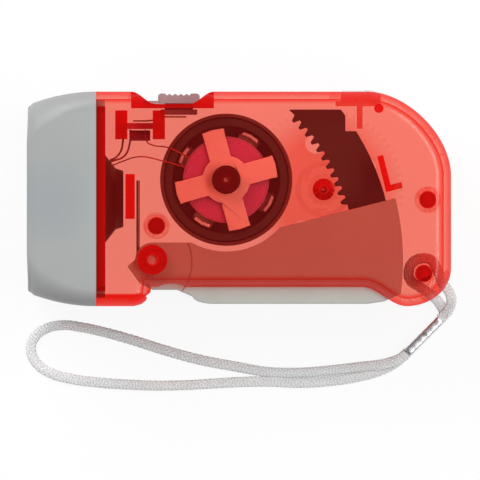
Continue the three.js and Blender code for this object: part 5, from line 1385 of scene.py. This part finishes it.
def braided_cord():
    """A flat braid: strands that run both ways round straight cores, over and under each other."""
    g = Growth(
        "braided_cord",
        Int=("Strands", "Cores"),
        Float=("Width", "Thickness", "Lay Length", "Weave Depth", "Strand Radius", "Step"),
    )
    v = g.given
    radius = v["Strand Radius"]
    route = g.route()
    copies = g.repeated(route, v["Strands"])
    number = copies["Duplicate Index"]
    way = 1 - g.math("FLOORED_MODULO", number, 2.0) * 2
    along = g.node("GeometryNodeSplineParameter")["Length"]
    turns = way * (along / v["Lay Length"])
    angle = (number / v["Strands"] + turns) * (2 * math.pi)
    crossings = number * 0.5 + turns * v["Strands"] * 0.5
    lift = g.math("COSINE", crossings * math.pi) * way * v["Weave Depth"]
    across = g.math("COSINE", angle) * (v["Width"] * 0.5 - radius + lift)
    rise = g.math("SINE", angle) * (v["Thickness"] * 0.5 - radius + lift)
    ahead = g.node("GeometryNodeInputTangent")[0]
    side = g.vectors("NORMALIZE", g.vectors("CROSS_PRODUCT", g.vector(0.0, 0.0, 1.0), ahead))
    upward = g.vectors("SCALE", g.vectors("CROSS_PRODUCT", ahead, side), rise)
    shift = g.vectors("ADD", g.vectors("SCALE", side, across), upward)
    strands = g.moved(copies["Geometry"], Offset=shift)
    lines = g.repeated(route, v["Cores"])
    place = lines["Duplicate Index"] / (v["Cores"] - 1) - 0.5
    aside = g.vectors("SCALE", side, place * (v["Width"] - radius * 3))
    both = g.joined(strands, g.moved(lines["Geometry"], Offset=aside))
    settings = {"data_type": "FLOAT", "domain": "POINT"}
    noted = g.node("GeometryNodeStoreNamedAttribute", settings, Geometry=both, Name="along", Value=along)[0]
    return g.closed(g.tubes(noted, fine.yarn, radius))


def set_on_points():
    """Copies of one piece, each on a point of a mesh."""
    g = Growth("set_on_points", Object=("Piece",))
    one = g.node("GeometryNodeObjectInfo", Object=g.given["Piece"])["Geometry"]
    copies = g.node("GeometryNodeInstanceOnPoints", Points=g.given["Geometry"], Instance=one)[0]
    return g.closed(copies)


trees = Sizes(
    wheel=toothed_wheel(),
    coil=wound_layers(),
    wire=wire_along(),
    braid=braided_cord(),
    on_points=set_on_points(),
)


def route_curve(name, points):
    """A smooth curve through a route's points."""
    curve = bpy.data.curves.new(name, "CURVE")
    curve.dimensions = "3D"
    curve.resolution_u = fine.curve
    spline = curve.splines.new("BEZIER")
    spline.bezier_points.add(len(points) - 1)
    for knot, point in zip(spline.bezier_points, points):
        knot.co = point
        knot.handle_left_type = "AUTO"
        knot.handle_right_type = "AUTO"
    return curve


def wire_piece(name, route, radius, sides, step, finish):
    curve = route_curve(name, route)
    return grown(name, trees.wire, finish, curve, Wire_Radius=radius, Sides=sides, Step=step)


def copied_to(name, piece, points, finish):
    """One piece repeated at several places, as one mesh."""
    mesh = bpy.data.meshes.new(name)
    mesh.from_pydata(points, [], [])
    made = grown(name, trees.on_points, finish, mesh, Piece=piece)
    bpy.data.objects.remove(piece)
    return made


# Strap

def dense_route(points):
    """The route's smooth line as many points, in metres."""
    obj = linked("measured", route_curve("measured", points))
    dense = [tuple(v.co / METRE) for v in obj.to_mesh().vertices]
    obj.to_mesh_clear()
    bpy.data.objects.remove(obj)
    return dense


def make_ferrule():
    """The crimp: a squared tube with shallow pinches along it."""
    f = ferrule
    half, tall = f.width / 2, f.height / 2
    rings = []
    for s in [i / f.rings for i in range(f.rings + 1)]:
        x = f.length * (s + f.over_share * (2 * s - 1))
        pinch = f.pinch * math.cos(2 * math.pi * f.pinches * s) ** f.pinch_power
        ring = []
        for c, n in circle(0, 0, 1, fine.small):
            across = (half - pinch) * math.copysign(abs(c) ** f.side_power, c)
            rise = tall + (tall - pinch) * math.copysign(abs(n) ** f.top_power, n)
            ring.append((x, across, rise))
        rings.append(ring)
    obj = loft("strap_crimp", rings)
    turn = Matrix.Rotation(math.radians(f.lean), 4, "Z")
    obj.data.transform(Matrix.Translation((f.x, f.y, 0)) @ turn)
    rounded(obj, rounds.crimp, 2, bend.turned)
    return finished(obj, finishes.crimp, "casing", ["strap_ferrule"])


def make_braid(name, route, node):
    s = strap
    lowered = [(x, y, z - s.drop) for x, y, z in route]
    made = grown(
        name, trees.braid, finishes.yarn, route_curve(name, lowered), Strands=s.strands, Cores=s.cores,
        Width=s.width, Thickness=s.thickness, Lay_Length=s.lay_length, Weave_Depth=s.weave_depth,
        Strand_Radius=s.strand, Step=s.step,
    )
    finished(made, finishes.yarn, "casing", [node], sharp.wound)
    dense_route(lowered)


def make_strap():
    crimp = make_ferrule()
    make_braid("wrist_loop", loop_route, "strap_loop")
    make_braid("tether", tether_route, "strap_tether")


# Wires, springs, gears and turned pieces

def make_wires():
    for node, radius, route in wire_routes:
        made = wire_piece(f"{node}_run", route, radius, fine.sleeve, fine.wire_step, finishes.sleeve)
        finished(made, finishes.sleeve, "casing", [node], sharp.wound)


def make_spring():
    """The torsion spring: an upper leg on the casing's rib, the turns and a leg on the lever."""
    s = spring
    foot = Vector((s.foot_x - pivot.x, s.foot_y - pivot.y))
    touch = math.atan2(foot.y, foot.x) - math.acos(s.radius / foot.length)
    sweep = 2 * math.pi * s.turns + touch + math.pi
    count = round(sweep / (2 * math.pi) * s.points)
    low = s.top - s.pitch * sweep / (2 * math.pi)
    shares = [i / s.leg_points for i in range(s.leg_points)]
    points = [(pivot.x - s.radius, s.leg_end + (pivot.y - s.leg_end) * i, s.top) for i in shares]
    turns = arc(pivot.x, pivot.y, s.radius, 180, 180 + math.degrees(sweep), count)
    points += [(x, y, s.top + (low - s.top) * i / count) for i, (x, y) in enumerate(turns)]
    points.append((s.foot_x, s.foot_y, low))
    made = wire_piece("torsion_spring", points, s.wire / 2, fine.spring, fine.spring_step, finishes.spring)
    finished(made, finishes.spring, None, ["return_spring"], sharp.wound)
    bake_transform(made)


def make_turned():
    """The bobbin, the flywheel's cup and its magnet, turned about the rotor's axle."""
    b, f, g = bobbin, flywheel, magnet
    spool = [
        (b.bore, b.low), (b.radius, b.low), (b.radius, b.low + b.flange), (b.tube, b.low + b.flange),
        (b.tube, b.high - b.flange), (b.radius, b.high - b.flange), (b.radius, b.high), (b.bore, b.high),
    ]
    cup = [
        (f.bore, f.low), (f.radius - f.chamfer, f.low), (f.radius, f.low + f.chamfer), (f.radius, f.high),
        (f.inner, f.high), (f.inner, f.floor), (f.hub, f.floor), (f.hub, f.hub_top), (f.bore, f.hub_top),
    ]
    ring = [(g.inner, g.low), (g.outer, g.low), (g.outer, g.high), (g.inner, g.high)]
    for name, profile, count, width, node, finish, body, slot in (
        ("bobbin_part", spool, fine.plate, rounds.post, "coil_bobbin", finishes.bobbin, "casing", "nylon"),
        ("flywheel_cup", cup, fine.wheel, rounds.cup, "flywheel", finishes.rim, "rotor", "black_plastic"),
        ("magnet_ring", ring, fine.wheel, rounds.cup, "ring_magnet", finishes.magnet, "rotor", "magnet"),
    ):
        made = turned_z(name, profile, rotor_axle.x, rotor_axle.y, count)
        finished(rounded(made, width), finish, body, [node])


def make_pins():
    for node, at in (("lever_pin", pivot), ("idler_axle", idler_axle), ("rotor_axle", rotor_axle)):
        made = rod(f"{node}_part", at.x, at.y, at.pin, (casing.floor, axle_end))
        finished(rounded(made, rounds.pin), finishes.pin, "casing", [node])


def make_coil():
    c = coil
    made = grown(
        "wound_coil", trees.coil, finishes.copper, Layers=c.layers, Turns=c.turns, Outer_Radius=c.radius,
        Layer_Pitch=c.pitch, Height=c.height, Wire_Radius=c.wire,
        Centre=(rotor_axle.x, rotor_axle.y, c.low),
    )
    nodes = ["coil_winding", "coil_outer_turns"]
    finished(made, finishes.copper, "casing", nodes, sharp.wound)


def make_gears():
    centres = round(math.atan2(rotor_axle.y - idler_axle.y, rotor_axle.x - idler_axle.x), 4)
    half_tooth = math.pi / idler_gear.teeth
    for name, w, axle, turn, finish, body, node in (
        ("idler_wheel", idler_gear, idler_axle, -half_tooth, finishes.idler, "idler", "idler_gear"),
        ("rotor_pinion_wheel", rotor_gear, rotor_axle, math.pi, finishes.nylon, "rotor", "rotor_pinion"),
    ):
        made = grown(
            name, trees.wheel, finish, Teeth=w.teeth, Tip_Radius=w.tip, Root_Radius=w.root, Bore=axle.bore,
            Holes=w.holes, Hole_Radius=w.hole, Hole_Circle=w.circle, Thickness=w.thickness,
            Centre=(axle.x, axle.y, w.low), Turn=centres + turn,
        )
        finished(rounded(made, rounds.gear, 2, bend.turned), finish, body, [node])


def make_case_screws():
    s = case_screw
    shoulder = s.recess + s.height
    profile = [
        (s.head - s.slot, s.recess), (s.head, s.recess + s.slot), (s.head, shoulder),
        (s.radius, shoulder), (s.radius, s.length - s.radius), (s.tip, s.length),
    ]
    one = turned_z("screw", profile, 0, 0, fine.small, False)
    arm, slot = around(0, s.head * s.slot_share), around(0, s.slot / 2)
    deep = (s.recess - overrun, s.recess + s.slot)
    combined(one, "DIFFERENCE", [block("slot_tool", arm, slot, deep), block("slot_tool", slot, arm, deep)])
    made = copied_to("case_screws", one, [(x, y, 0) for x, y in screws.places], finishes.steel)
    nodes = ["case_screw_front", "case_screw_rear", "case_screw_strap"]
    finished(made, finishes.steel, "casing", nodes)


def make_lamps():
    """Three lamps: clear resin domes over a chip in its metal cup on two legs."""
    d = lamps
    flange = dish.back + d.gap
    dome = flange - d.body
    resin = [
        *[(dome - y, x) for x, y in arc(0, 0, d.radius, d.dome, 0, fine.edge)],
        (flange, d.radius), (flange, d.flange_radius), (flange + d.flange, d.flange_radius),
    ]
    cup = [
        (dome + d.chip, d.chip_radius), (dome + d.cup, d.cup_radius), (dome + d.cup, d.cup_rim),
        (dome + d.cup_back, d.stem), (flange, d.stem),
    ]
    spots = [(0, y, z) for y, z in circle(casing.axis, casing.mid, d.circle, d.count, d.first)]
    for name, profile, finish in (("lamp_domes", resin, finishes.resin), ("lamp_cups", cup, finishes.crimp)):
        one = turned_x("lamp", profile, 0, 0, fine.small)
        made = copied_to(name, one, spots, finish)
        finished(made, finish, "casing", ["led_1", "led_2", "led_3"], sharp.lamp)


def make_holder():
    """The lamp holder: a flange, a cone and a neck."""
    h = holder
    profile = [(h.front, h.flange), (h.flange_back, h.flange), (h.cone_back, h.cone), (h.back, h.neck)]
    made = turned_x("holder_part", profile, casing.axis, casing.mid, fine.plate)
    rounded(made, rounds.holder, 2, bend.holder)
    finished(made, finishes.rim, "casing", ["lamp_holder"])


def make_cad_parts():
    for node, finish, slot, width in cad_parts:
        softened(node, getattr(finishes, finish), width)


# Camera and studio

def make_camera():
    data = bpy.data.cameras.new("view_from_above")
    data.type = "ORTHO"
    data.ortho_scale = view.span / METRE
    obj = linked("view_from_above", data)
    obj.location = (view.x / METRE, view.y / METRE, view.height / METRE)
    bpy.context.scene.camera = obj


def make_sky():
    """White to the camera; for light, brighter near the horizon than overhead."""
    s = studio
    world = bpy.data.worlds.new("studio")
    bpy.context.scene.world = world
    world.use_nodes = True
    world.node_tree.nodes.clear()
    g = Graph(world.node_tree)
    seen = g.node("ShaderNodeLightPath")["Is Camera Ray"]
    way = g.node("ShaderNodeTexCoord")["Generated"]
    low = (1 - g.node("ShaderNodeSeparateXYZ", Vector=way)["Z"]).clamped() ** s.sky_power
    dome = s.sky_top + low * (s.sky_side - s.sky_top)
    level = dome + seen * (1 - dome)
    sky = g.node("ShaderNodeBackground", Color=(1, 1, 1, 1), Strength=level)[0]
    g.node("ShaderNodeOutputWorld", Surface=sky)


def make_studio():
    low, high = around(0, studio.reach / METRE)
    corners = [(low, low, 0), (high, low, 0), (high, high, 0), (low, high, 0)]
    floor = made_object("floor", corners, [(0, 1, 2, 3)])
    floor.location.z = -studio.drop / METRE
    floor.data.materials.append(studio_floor())
    make_sky()
    for name, place, width, length, power in studio.lamps:
        lamp = bpy.data.lights.new(name, "AREA")
        lamp.shape = "RECTANGLE"
        lamp.size = width
        lamp.size_y = length
        lamp.energy = power
        obj = linked(name, lamp)
        obj.location = place
        obj.rotation_mode = "QUATERNION"
        obj.rotation_quaternion = Vector(place).to_track_quat("Z", "X")


make_camera()
make_strap()
make_casing()
make_hood()
make_window()
make_dish()
make_lamps()
make_holder()
make_lever()
make_knob()
make_cad_parts()
make_gears()
make_turned()
make_pins()
make_coil()
make_wires()
make_spring()
make_case_screws()
make_studio()

scene = bpy.context.scene
scene.view_settings.view_transform = "Standard"
scene.cycles.transparent_max_bounces = 32
